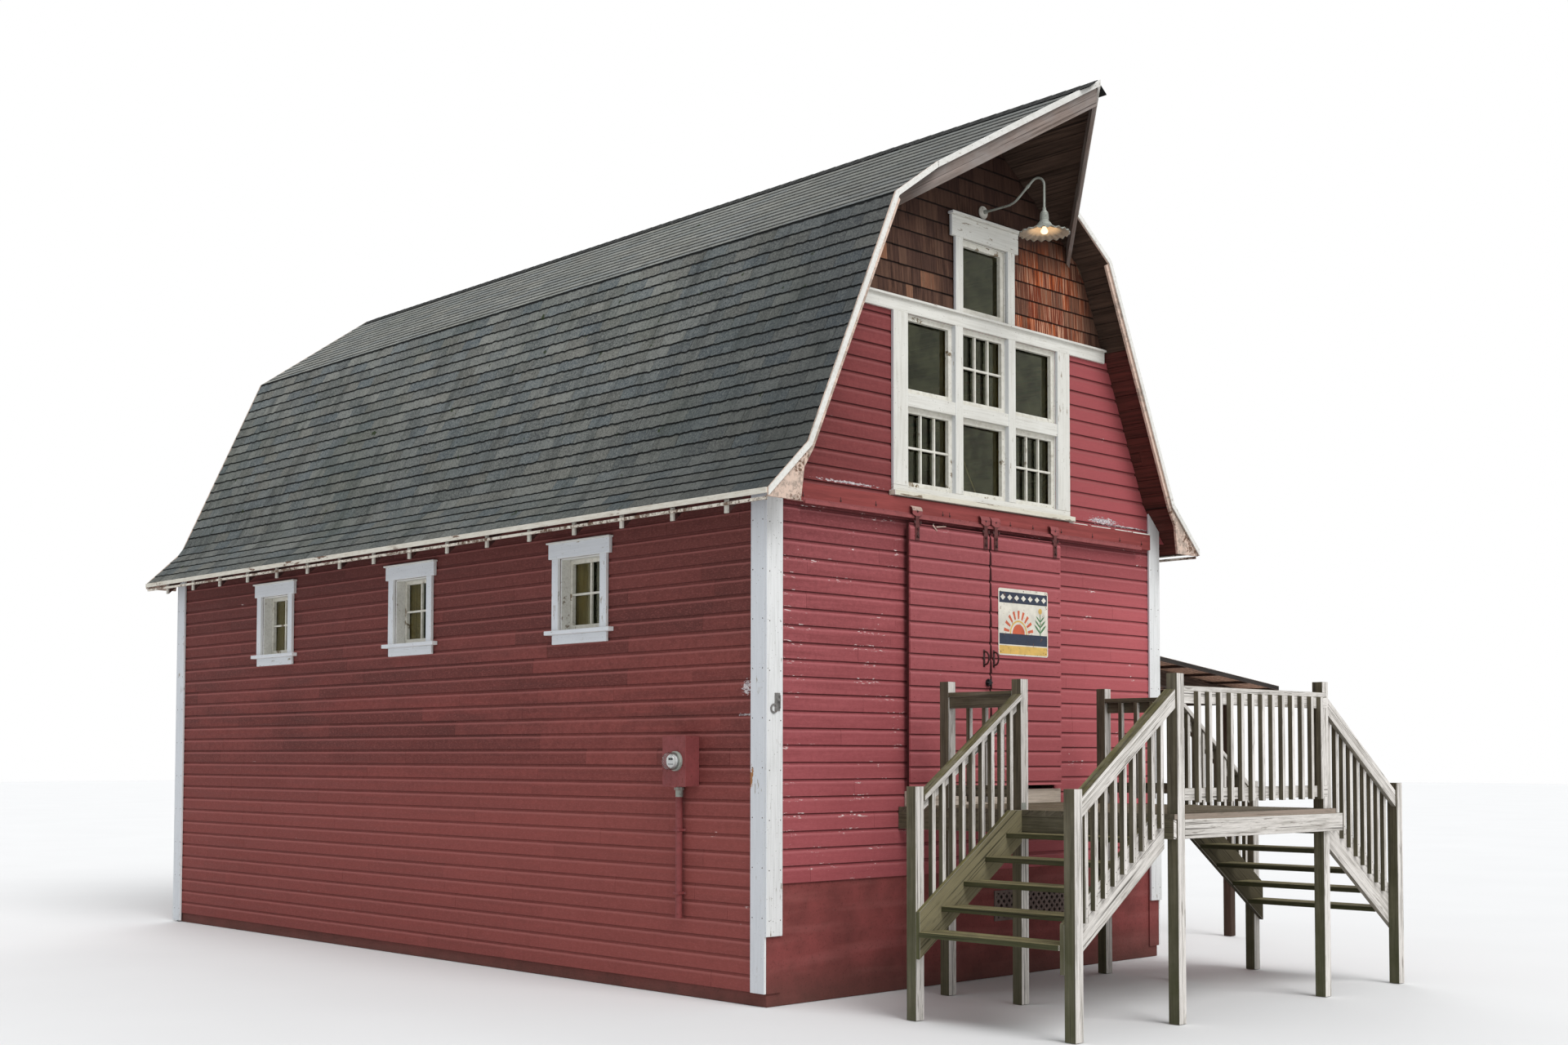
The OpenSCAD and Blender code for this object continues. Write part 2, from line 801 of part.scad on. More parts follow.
module meter_box() {
    pipe_y = meter_y + 40;
    color("firebrick") {
        block([-half_w - 150, meter_y - 160, meter_z], [-half_w, meter_y + 120, meter_z + meter_h]);
        translate([-half_w - 40, pipe_y, conduit_foot_z]) cylinder(r = 30, h = meter_z + 1 - conduit_foot_z, $fn = 48);
        for (z = [meter_z - clamp_low, meter_z - clamp_high])
            translate([-half_w - 74, pipe_y - 42, z]) cube([74, 84, 24]);
    }
}

module electric_meter() {
    color("gray") translate([-half_w - 150, meter_y - 48, meter_z + meter_h / 2]) rotate([0, -90, 0]) {
        cylinder(r = 78, h = 25, $fn = 64);
        translate([0, 0, 25]) cylinder(r = 70, h = 75, $fn = 64);
    }
}

// Hasp on the corner board: upright plate with a boss, and its eye low on the left
module corner_latch() {
    x0 = -half_w + 60;
    color("brown") {
        block([x0, front_y - 30, meter_z + 588], [x0 + 54, front_y - 22, meter_z + 725]);
        block([x0 - 47, front_y - 27, meter_z + 559], [x0 + 10, front_y - 22, meter_z + 650]);
        translate([x0 + 27, front_y - 29, meter_z + 670]) rotate([90, 0, 0]) cylinder(r = 14, h = 22, $fn = 32);
    }
}

// Upright post with its left front corner at x, y
module post_at(x, y, top) {
    block([x, y, 0], [x + post, y + post, top]);
}

inner_post_x = deck_x1 - post;
newel_left_x = deck_x0 - flight_run;
newel_right_x = deck_x1 + flight_run - post;

// The six posts that pass up through the deck
module each_deck_post() {
    for (y = [front_y - 506, landing_y, outer_y]) post_at(deck_x0, y, post_top_z);
    for (y = [front_y - 506, landing_y, right_outer_y]) post_at(inner_post_x, y, post_top_z);
}

module deck_posts() {
    color("gray") {
        each_deck_post();
        for (y = [outer_y, landing_y]) post_at(newel_left_x, y, newel_top_z);
        for (y = [right_outer_y, landing_y]) post_at(newel_right_x, y, newel_top_z);
    }
}

// Rims along the deck's sides, their outer faces outside the posts
module side_rims() {
    top = deck_z - deck_t;
    block([rim_x0, outer_y + 10, top - joist_h], [deck_x0, front_y, top]);
    block([deck_x1, right_outer_y, top - joist_h], [rim_x1, front_y, top]);
}

// Rims and joists under the boards
module deck_frame() {
    top = deck_z - deck_t;
    color("gray") {
        side_rims();
        block([deck_x0 + post, outer_y, top - joist_h], [deck_x1 + 145, outer_y + lumber, top]);
        block([deck_x0 + post, front_y - lumber, top - joist_h], [deck_x1, front_y, top]);
        for (x = [deck_x0 + 450 : 400 : deck_x1 - 300])
            block([x, outer_y + lumber, top - joist_h], [x + lumber, front_y - lumber, top]);
    }
}

module deck_boards() {
    color("gray") difference() {
        block([rim_x0, outer_y, deck_z - deck_t], [rim_x1, front_y - 4, deck_z]);
        each_deck_post();
    }
}

// Level railing along X between two posts, balusters on its front
module rail_x(x0, x1, y) {
    block([x0, y, rail_z - lumber], [x1, y + post, rail_z]);
    block([x0, y, rail_z - lumber - post], [x1, y + lumber, rail_z - lumber]);
    block([x0, y, deck_z + 95], [x1, y + lumber, deck_z + 95 + post]);
    n = round((x1 - x0) / 146) - 1;
    for (i = [1 : n]) {
        x = x0 + (x1 - x0) * i / (n + 1);
        block([x - 19, y - lumber, deck_z + 80], [x + 19, y, rail_z - lumber]);
    }
}

// Level railing along Y between two posts, its balusters to the right of the lower rails
module rail_y(x, y0, y1) {
    block([x, y0, rail_z - lumber], [x + post, y1, rail_z]);
    block([x + 13, y0, rail_z - lumber - post], [x + 13 + lumber, y1, rail_z - lumber]);
    block([x + 13, y0, deck_z + 95], [x + 13 + lumber, y1, deck_z + 95 + post]);
    n = round((y1 - y0) / 146) - 1;
    for (i = [1 : n]) {
        y = y0 + (y1 - y0) * i / (n + 1);
        block([x + 13 + lumber, y - 19, deck_z + 50], [x + 13 + 2 * lumber, y + 19, rail_z - lumber]);
    }
}

// Leaves a flight on the left, or turns it to the right side of the deck
module at_right(right) {
    if (right)
        translate([deck_x0 + deck_x1, 0, 0]) mirror([1, 0, 0]) children();
    else
        children();
}

module deck_railings() {
    color("gray") {
        rail_x(deck_x0 + post, inner_post_x, outer_y);
        rail_y(deck_x0, landing_y + post, front_y - 506);
        at_right(true) rail_y(deck_x0, landing_y + post, front_y - 506);
    }
}

step_angle = atan2(step_rise, step_run);

// Board sloping down to the left from the deck, its top edge through [x, z], between y0 and y1
module sloping(x_top, z_top, run, depth, y0, y1) {
    drop = run * tan(step_angle);
    v = depth / cos(step_angle);
    along_y(y0, y1)
        polygon([[x_top, z_top], [x_top, z_top - v], [x_top - run, z_top - drop - v], [x_top - run, z_top - drop]]);
}

// Stringer of a flight going down to the left, its outer face at y, level at the deck
module stringer(y) {
    fall = tan(step_angle);
    depth = stringer_h / cos(step_angle);
    x_end = newel_left_x;
    run = rim_x0 - x_end;
    color("gray") along_y(y, y + lumber) intersection() {
        polygon([
            [rim_x0, deck_z + stringer_up], [rim_x0, deck_z + stringer_up - depth],
            [x_end, deck_z + stringer_up - depth - run * fall], [x_end, deck_z + stringer_up - run * fall]
        ]);
        translate([x_end, 0]) square([run, deck_z]);
    }
}

module flight_treads(y_out) {
    for (i = [1 : step_n]) {
        x = deck_x0 + 20 - i * step_run;
        z = deck_z - i * step_rise;
        block([x, y_out + post + lumber, z - lumber], [min(x + step_run + 15, rim_x0), landing_y - lumber, z]);
    }
}

// Railing of a flight: cap, board under it and balusters, with y0 the cap's front
// and the board and balusters at their own distances behind it
module flight_railing(y0, board_y, baluster_y) {
    run = flight_run - post;
    top = rail_z - 25;
    n = 9;
    sloping(deck_x0, top, run, lumber, y0, y0 + post);
    sloping(deck_x0, top - lumber / cos(step_angle), run, 76, y0 + board_y, y0 + board_y + lumber);
    for (i = [1 : n]) {
        x = deck_x0 - run * i / (n + 1);
        z = top - (deck_x0 - x) * tan(step_angle);
        foot = deck_z + stringer_up - (rim_x0 - x) * tan(step_angle) - 140;
        block([x - 19, y0 + baluster_y, foot], [x + 19, y0 + baluster_y + lumber, z - 35]);
    }
}

module stair_stringers() {
    for (right = [false, true]) at_right(right) {
        stringer(landing_y - lumber);
        stringer((right ? right_outer_y : outer_y) + post);
    }
}

module stair_treads() {
    color("gray") for (right = [false, true])
        at_right(right) flight_treads(right ? right_outer_y : outer_y);
}

module stair_railings() {
    color("gray") for (right = [false, true]) at_right(right) {
        flight_railing(landing_y - 13, 51, 13);
        flight_railing((right ? right_outer_y : outer_y) + 13, 0, lumber);
    }
}

module door_threshold() {
    color("gray") block([-doorway_w / 2 - 65, front_y - lumber - 4, deck_z], [doorway_w / 2 + 40, front_y, leaf_z - 35]);
}

// Crossed laths against the foundation under the doorway
module deck_lattice() {
    color("firebrick") along_y(front_y + 3, front_y + 15) translate([lattice_x0, front_sill_z - lattice_drop - lattice_h]) {
        difference() {
            square([lattice_l, lattice_h]);
            translate([22, 22]) square([lattice_l - 44, lattice_h - 44]);
        }
        intersection() {
            square([lattice_l, lattice_h]);
            for (i = [0 : 16], s = [-1, 1])
                translate([i * 75 - 100, lattice_h / 2]) rotate(s * 45) square([24, 2 * lattice_h], center = true);
        }
    }
}

module lean_to_roof() {
    color("saddlebrown") along_y(lean_y0, lean_y0 + lean_l)
        polygon([
            [lean_x0, lean_top(lean_x0)], [lean_x1, lean_top(lean_x1)],
            [lean_x1, lean_top(lean_x1) - lean_t], [lean_x0, lean_top(lean_x0) - lean_t]
        ]);
}

module lean_to_frame() {
    y0 = lean_y0 + 480;
    y1 = lean_y0 + lean_l - 200;
    post_x = lean_x1 - 280;
    end_x = lean_x1 - 80;
    function under_z(x) = lean_top(x) - lean_t - 0.2;
    color("saddlebrown") {
        along_y(lean_y0 + 70, y1 + 45) polygon([
            [half_w, under_z(half_w)], [half_w + lumber, under_z(half_w + lumber)],
            [half_w + lumber, under_z(half_w) - 190], [half_w, under_z(half_w) - 190]
        ]);
        for (y = [y0, (y0 + y1) / 2, y1]) {
            along_y(y - 45, y + 45) polygon([
                [half_w, under_z(half_w)], [end_x, under_z(end_x)],
                [end_x, under_z(end_x) - 140], [half_w, under_z(half_w) - 140]
            ]);
            block([post_x, y - 45, 0], [post_x + 90, y + 45, under_z(post_x + 90) - 20]);
        }
        along_y(y0, y1) polygon([
            [post_x, under_z(post_x)], [post_x + 90, under_z(post_x + 90)],
            [post_x + 90, under_z(post_x) - 180], [post_x, under_z(post_x) - 180]
        ]);
    }
}

foundation();
floor();
front_wall_left();
front_wall_right();
front_wall_over_door();
front_wall_under_door();
front_gable();
left_wall();
right_wall();
rear_wall();
rear_gable();
roof_lower_left();
roof_lower_right();
roof_upper_left();
roof_upper_right();
hood_fascia();
hood_timbers();
rake_boards();
eave_boards();
rafter_tails();
corner_boards();
belt_boards();
gable_window_casing();
gable_window_sashes();
gable_window_glass();
window_casings();
window_sashes();
window_glass();
track_header_board();
door_rail();
left_door();
right_door();
left_door_hangers();
right_door_hangers();
left_door_handle();
right_door_handle();
door_lock();
tin_sign();
lamp_arm();
lamp_shade();
meter_box();
electric_meter();
corner_latch();
deck_posts();
deck_frame();
deck_boards();
deck_railings();
stair_stringers();
stair_treads();
stair_railings();
door_threshold();
deck_lattice();
lean_to_roof();
lean_to_frame();
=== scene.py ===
# Looks for the small red gambrel barn: siding, shingles, trim, weathered timber and fittings.
# Metres, in the CAD model's frame: +Z up, the front wall with the doors facing -Y.
import random
from functools import cached_property
from math import atan, ceil, cos, dist, hypot, pi, radians, sin, tan

import bmesh
import bpy
from mathutils import Matrix, Vector


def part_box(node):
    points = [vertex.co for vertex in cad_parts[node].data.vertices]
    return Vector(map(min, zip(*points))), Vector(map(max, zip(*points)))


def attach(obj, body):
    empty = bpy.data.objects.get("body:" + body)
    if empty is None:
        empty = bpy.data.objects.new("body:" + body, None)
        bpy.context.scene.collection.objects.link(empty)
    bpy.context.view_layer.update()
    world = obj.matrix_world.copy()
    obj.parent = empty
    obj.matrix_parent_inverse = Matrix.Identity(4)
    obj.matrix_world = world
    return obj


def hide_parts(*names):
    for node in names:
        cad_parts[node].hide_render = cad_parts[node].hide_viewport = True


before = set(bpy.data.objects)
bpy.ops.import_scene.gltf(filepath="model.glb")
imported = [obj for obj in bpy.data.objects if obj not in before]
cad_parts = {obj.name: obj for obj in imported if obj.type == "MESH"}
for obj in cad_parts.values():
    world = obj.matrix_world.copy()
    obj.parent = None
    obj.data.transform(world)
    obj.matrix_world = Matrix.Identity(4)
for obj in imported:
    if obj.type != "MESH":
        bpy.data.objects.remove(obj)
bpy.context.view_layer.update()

scene = bpy.context.scene
scene.view_settings.view_transform = "Standard"
rng = random.Random(7)
X_AXIS, Y_AXIS, Z_AXIS = (1, 0, 0), (0, 1, 0), (0, 0, 1)

# Camera, at the photograph's angle
YAW, PITCH, ROLL = (radians(a) for a in (-44.042, 2.494, -0.074))
CAMERA_AT = (-11.947, -14.818, 1.893)
turn = Matrix.Rotation(YAW, 3, "Z") @ Matrix.Rotation(PITCH, 3, "X") @ Matrix.Rotation(ROLL, 3, "Y")
right, forward, up = turn.col[0], turn.col[1], turn.col[2]
camera = bpy.data.objects.new("camera", bpy.data.cameras.new("camera"))
camera.data.lens = 41.03
camera.data.sensor_width = 36
camera.data.shift_y = 0.10
camera.data.clip_end = 200
camera.matrix_world = Matrix.Translation(CAMERA_AT) @ Matrix((right, up, -forward)).transposed().to_4x4()
scene.collection.objects.link(camera)
scene.camera = camera

# The barn's own measures
HALF_W = -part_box("left_wall")[0][0]
FRONT, REAR = (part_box("left_wall")[i][1] for i in (0, 1))
WALL = 0.150
IN_HALF = HALF_W - WALL
EAVE = (HALF_W + 0.275, 3.902)
KNEE = (HALF_W - 0.140, 4.295)
BREAK = (HALF_W - 1.128, 6.440)
RIDGE = (0.0, 7.480)
OVER = 0.290
ROOF_FRONT, ROOF_REAR = FRONT - OVER, REAR + OVER
ROOF_T = 0.050
HOOD_REACH, HOOD_HALF = 1.225, 0.950
SILL, SIDE_SILL, SPLIT_Z = 0.925, 0.100, 3.960
BELT_Z, BELT_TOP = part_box("belt_boards")[0][2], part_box("belt_boards")[1][2]
GROUP_HALF, GROUP_Z = 1.010, 4.110
TOP_HALF, TOP_Z, TOP_HEAD = 0.303, 5.712, 6.350
WIN_HALF, WIN_Z, WIN_HEAD = 0.290, 2.960, 3.610
WIN_Y = (-2.640, 0.015, 2.670)
WIN_X = (-HALF_W / 2, HALF_W / 2)
DOOR_HALF, DOOR_FOOT, DOOR_TOP = 0.970, 1.620, 3.790
SPLIT_X = -0.013
SIDING, EXPOSURE = 0.018, 0.133
DECK_X0, DECK_X1 = -1.070, 1.125
DECK_Z, DECK_T = 1.490, 0.038
POST, LUMBER, JOIST = 0.089, 0.038, 0.140
OUTER_Y = FRONT - 2.649
RIGHT_OUTER_Y = OUTER_Y + LUMBER
LANDING_Y = FRONT - 1.239
WALL_POST_Y = FRONT - 0.506
POST_TOP, RAIL_Z, NEWEL_TOP = 2.498, 2.410, 1.682
RUN, RISE, TREADS = 0.250, 0.170, 5
FLIGHT = RUN * (TREADS - 1) + 0.215
RIM_X0, RIM_X1 = DECK_X0 - LUMBER, DECK_X1 + LUMBER
INNER_POST = DECK_X1 - POST
NEWEL_LEFT, NEWEL_RIGHT = DECK_X0 - FLIGHT, DECK_X1 + FLIGHT - POST
FALL = RISE / RUN
SLOPE = atan(FALL)
LEAF_Y = FRONT - 0.080


def unit(a, b):
    d = (b[0] - a[0], b[1] - a[1])
    n = hypot(*d)
    return d[0] / n, d[1] / n


def meet(p, d, q, e):
    """Crossing of the line through p along d and the line through q along e."""
    k = ((q[0] - p[0]) * e[1] - (q[1] - p[1]) * e[0]) / (d[0] * e[1] - d[1] * e[0])
    return p[0] + d[0] * k, p[1] + d[1] * k


def roof_line(t):
    """Eave, knee, break and ridge of the right side, moved inwards by t."""
    marks = (EAVE, KNEE, BREAK, RIDGE)
    ways = [unit(a, b) for a, b in zip(marks, marks[1:])]
    (p0, d0), (p1, d1), (p2, d2) = [((a[0] - d[1] * t, a[1] + d[0] * t), d) for a, d in zip(marks, ways)]
    eave, ridge = meet(p0, d0, (EAVE[0], 0), (0, 1)), meet(p2, d2, (0, 0), (0, 1))
    return eave, meet(p0, d0, p1, d1), meet(p1, d1, p2, d2), ridge


INNER = roof_line(ROOF_T)


def z_over(a, b, x):
    """Height at x of the line through two marks."""
    return meet(a, unit(a, b), (x, 0), (0, 1))[1]


def x_under(z, t=ROOF_T):
    """Half width of the space under the roof at height z."""
    marks = roof_line(t)
    for a, b in zip(marks, marks[1:]):
        if z <= b[1] or b is marks[3]:
            return meet(a, unit(a, b), (0, z), (1, 0))[0]


def arc(cx, cy, radius, a0, a1, steps):
    """Points along an arc, angles in degrees."""
    angles = [radians(a0 + (a1 - a0) * i / steps) for i in range(steps + 1)]
    return [(cx + radius * cos(t), cy + radius * sin(t)) for t in angles]


def rectangle(x0, x1, z0, z1):
    return [(x0, z0), (x1, z0), (x1, z1), (x0, z1)]


def moved(outline, x, z):
    return [(a + x, b + z) for a, b in outline]


# Mesh building
BOX_FACES = [[0, 2, 3, 1], [4, 5, 7, 6], [0, 1, 5, 4], [2, 6, 7, 3], [0, 4, 6, 2], [1, 3, 7, 5]]


class Heap:
    """Many small solids that become one mesh, each with its own grain coordinates."""

    def __init__(self):
        self.verts, self.faces, self.grain, self.slots = [], [], [], []

    def solid(self, points, faces, axis, slot=0, seed=None, rise=None):
        """Add a closed solid whose grain runs along axis; rise is a foot height and a scale."""
        base = len(self.verts)
        self.verts += [tuple(p) for p in points]
        axis = Vector(axis).normalized()
        seed = rng.uniform(0, 100) if seed is None else seed
        shift = rng.uniform(0, 40) if rise is None else seed * 0.4
        for face in faces:
            corners = [Vector(points[i]) for i in face]
            normal = Vector((0, 0, 0))
            for a, b in zip(corners, corners[1:] + corners[:1]):
                normal += a.cross(b)
            side = normal.cross(axis)
            end = side.length < 0.3 * normal.length
            u_axis = (normal.cross(Vector((0.3, 0.5, 0.8))) if end else axis).normalized()
            v_axis = normal.normalized().cross(u_axis) if normal.length else side
            self.faces.append([base + i for i in face])
            self.slots.append(slot)
            for c in corners:
                v = (c.z - rise[0]) * rise[1] if rise else c.dot(v_axis)
                self.grain += (c.dot(u_axis) + shift, v, seed)

    def box(self, a, b, axis=X_AXIS, slot=0, seed=None):
        points = [(x, y, z) for z in (a[2], b[2]) for y in (a[1], b[1]) for x in (a[0], b[0])]
        self.solid(points, BOX_FACES, axis, slot, seed)

    def skin(self, rings, axis, slot=0, seed=None, rise=None, closed=False):
        """Add a solid through matching rings, capped at both ends or closed into a loop."""
        n, m = len(rings[0]), len(rings)
        faces = [] if closed else [list(range(n))[::-1], list(range(n * (m - 1), n * m))]
        for k in range(m if closed else m - 1):
            a, b = k * n, (k + 1) % m * n
            faces += [[a + i, a + (i + 1) % n, b + (i + 1) % n, b + i] for i in range(n)]
        self.solid([tuple(q) for ring in rings for q in ring], faces, axis, slot, seed, rise)

    def drawn(self, outline, y0, y1, axis, slot=0, seed=None):
        """Add an outline in X and Z drawn out along Y."""
        self.skin([[(x, y, z) for x, z in outline] for y in (y0, y1)], axis, slot, seed)

    def tube(self, path, radius, sides=14, slot=0):
        """Round rod along a path of points."""
        path = [Vector(q) for q in path]
        rings = []
        for i, q in enumerate(path):
            way = (path[min(i + 1, len(path) - 1)] - path[max(i - 1, 0)]).normalized()
            side = way.cross(Vector((0.9, 0.1, 0.05))).normalized()
            lift = way.cross(side)
            angles = [2 * pi * k / sides for k in range(sides)]
            rings.append([q + (side * cos(t) + lift * sin(t)) * radius for t in angles])
        self.skin(rings, Z_AXIS, slot)

    def turned(self, at, outline, sides=48, slot=0, flute=None, axis="Z"):
        """Closed outline of (radius, height) turned about an axis; flute(radius, angle) lifts it."""
        rings = []
        for k in range(sides):
            t = 2 * pi * k / sides
            ring = []
            for r, h in outline:
                x, y, z = r * cos(t), r * sin(t), h + (flute(r, t) if flute else 0.0)
                x, y, z = {"X": (-z, y, x), "Y": (x, -z, y), "Z": (x, y, z)}[axis]
                ring.append((at[0] + x, at[1] + y, at[2] + z))
            rings.append(ring)
        self.skin(rings, Z_AXIS, slot, closed=True)

    def disc(self, at, normal, radius, height, sides=8, slot=0, taper=1.0):
        """Add a short round piece that stands on a face."""
        normal = Vector(normal).normalized()
        u = normal.orthogonal().normalized()
        v = normal.cross(u)
        angles = [2 * pi * i / sides for i in range(sides)]
        self.skin([
            [Vector(at) + normal * h + (u * cos(t) + v * sin(t)) * r for t in angles]
            for h, r in ((0, radius), (height, radius * taper))
        ], normal, slot)


def piece(name, heap, materials, slot, bevel, *nodes, body="barn", smooth=False):
    """Turn a heap into a named object that rides on a body in place of CAD nodes."""
    mesh = bpy.data.meshes.new(name)
    mesh.from_pydata(heap.verts, [], heap.faces)
    mesh.attributes.new("grain", "FLOAT_VECTOR", "CORNER").data.foreach_set("vector", heap.grain)
    mesh.polygons.foreach_set("material_index", heap.slots)
    for material in materials:
        mesh.materials.append(material)
    work = bmesh.new()
    work.from_mesh(mesh)
    bmesh.ops.recalc_face_normals(work, faces=work.faces)
    if bevel:
        edges = [e for e in work.edges if len(e.link_faces) == 2 and e.calc_face_angle(0) > 0.5]
        bmesh.ops.bevel(
            work, geom=edges, offset=bevel, offset_type="OFFSET", segments=1,
            affect="EDGES", profile=0.5, clamp_overlap=True,
        )
    work.to_mesh(mesh)
    work.free()
    if smooth:
        mesh.shade_smooth()
    mesh.update()
    obj = bpy.data.objects.new(name, mesh)
    scene.collection.objects.link(obj)
    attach(obj, body)
    if nodes:
        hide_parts(*nodes)


# Material building
def dim(colour, k, more=0.0):
    return tuple(c * k + more for c in colour)


class Nodes:
    """Short ways to add and join the nodes of one tree."""

    def __init__(self, tree):
        self.tree = tree
        tree.nodes.clear()

    def plug(self, socket, value):
        if isinstance(value, bpy.types.NodeSocket):
            self.tree.links.new(value, socket)
        else:
            socket.default_value = (*value, 1) if socket.type == "RGBA" else value

    def node(self, kind, **values):
        node = self.tree.nodes.new("ShaderNode" + kind)
        for key, value in values.items():
            if key.startswith("in"):
                self.plug(node.inputs[int(key[2:])], value)
            else:
                setattr(node, key, value)
        return node

    def math(self, kind, a, b=0.5):
        return self.node("Math", operation=kind, in0=a, in1=b).outputs[0]

    def times(self, a, b):
        return self.math("MULTIPLY", a, b)

    def plus(self, a, b):
        return self.math("ADD", a, b)

    def most(self, a, b):
        return self.math("MAXIMUM", a, b)


class Paint(Nodes):
    """One procedural material; colour is what has been laid on so far."""

    def __init__(self, name):
        self.material = bpy.data.materials.new(name)
        self.material.use_nodes = True
        super().__init__(self.material.node_tree)
        self.bsdf = self.node("BsdfPrincipled")
        self.node("OutputMaterial", in0=self.bsdf.outputs[0])

    @cached_property
    def grain(self):
        return self.node("Attribute", attribute_name="grain").outputs["Vector"]

    @cached_property
    def spot(self):
        return self.node("TexCoord").outputs["Object"]

    @cached_property
    def board(self):
        """Place along one board, place across it, and its seed."""
        return self.node("SeparateXYZ", in0=self.grain).outputs

    @cached_property
    def xyz(self):
        return self.node("SeparateXYZ", in0=self.spot).outputs

    @cached_property
    def face(self):
        """Components of the surface direction in the object's own axes."""
        normal = self.node("NewGeometry").outputs["Normal"]
        back = self.node(
            "VectorTransform", vector_type="NORMAL", convert_from="WORLD", convert_to="OBJECT", in0=normal,
        )
        return self.node("SeparateXYZ", in0=back.outputs[0]).outputs

    def away(self, axis, lo=0.6):
        """1 on faces that look down an axis, towards its low end."""
        return self.span(self.times(self.face[axis], -1), lo, 0.9)

    def scaled(self, vector, scale):
        return self.node("Mapping", in0=vector, in3=scale).outputs[0]

    def noise(self, vector, scale, detail, rough):
        """Noise at one scale, or at a scale for each axis."""
        if isinstance(scale, tuple):
            vector, scale = self.scaled(vector, scale), 1
        return self.node("TexNoise", in0=vector, in2=scale, in3=detail, in4=rough).outputs["Fac"]

    def chance(self, value):
        """Random number 0 to 1 that stays the same over one board."""
        return self.node("TexWhiteNoise", noise_dimensions="1D", in1=value).outputs["Value"]

    def span(self, value, lo, hi, to_lo=0.0, to_hi=1.0):
        return self.node("MapRange", clamp=True, in0=value, in1=lo, in2=hi, in3=to_lo, in4=to_hi).outputs[0]

    def mix(self, amount, a, b):
        return self.node("Mix", data_type="RGBA", in0=amount, in6=a, in7=b).outputs[2]

    def lay(self, amount, colour):
        self.colour = self.mix(amount, self.colour, colour)

    def coat(self, value, lo, hi, amount, colour):
        """Lay a colour on where value goes from lo to hi, up to an amount."""
        self.lay(self.span(value, lo, hi, 0, amount), colour)

    def patch(self, middle, half, rough=(24, 24, 70)):
        """Ragged patch round a place, as half sizes along X, Y and Z; 0 leaves a direction out."""
        scale = [1 / h if h else 0 for h in half]
        there = [m * k for m, k in zip(middle, scale)]
        far = self.node("VectorMath", operation="DISTANCE", in0=self.scaled(self.spot, scale), in1=there)
        ragged = self.span(self.noise(self.spot, rough, 4, 0.75), 0.3, 0.7, 1, -1)
        return self.span(self.plus(far.outputs["Value"], ragged), 0.90, 0.80)

    def glow(self, colour, strength):
        self.plug(self.bsdf.inputs["Emission Color"], colour)
        self.bsdf.inputs["Emission Strength"].default_value = strength

    def finish(self, rough, bumps=(), specular=0.15, metallic=0.0):
        values = {"Roughness": rough, "Metallic": metallic, "Specular IOR Level": specular}
        for key, value in {"Base Color": self.colour, **values}.items():
            self.plug(self.bsdf.inputs[key], value)
        last = None
        for height, distance, strength in bumps:
            bump = self.node("Bump")
            for key, value in (("Height", height), ("Distance", distance), ("Strength", strength)):
                self.plug(bump.inputs[key], value)
            if last:
                self.plug(bump.inputs["Normal"], last)
            last = bump.outputs[0]
        if last:
            self.plug(self.bsdf.inputs["Normal"], last)
        return self.material


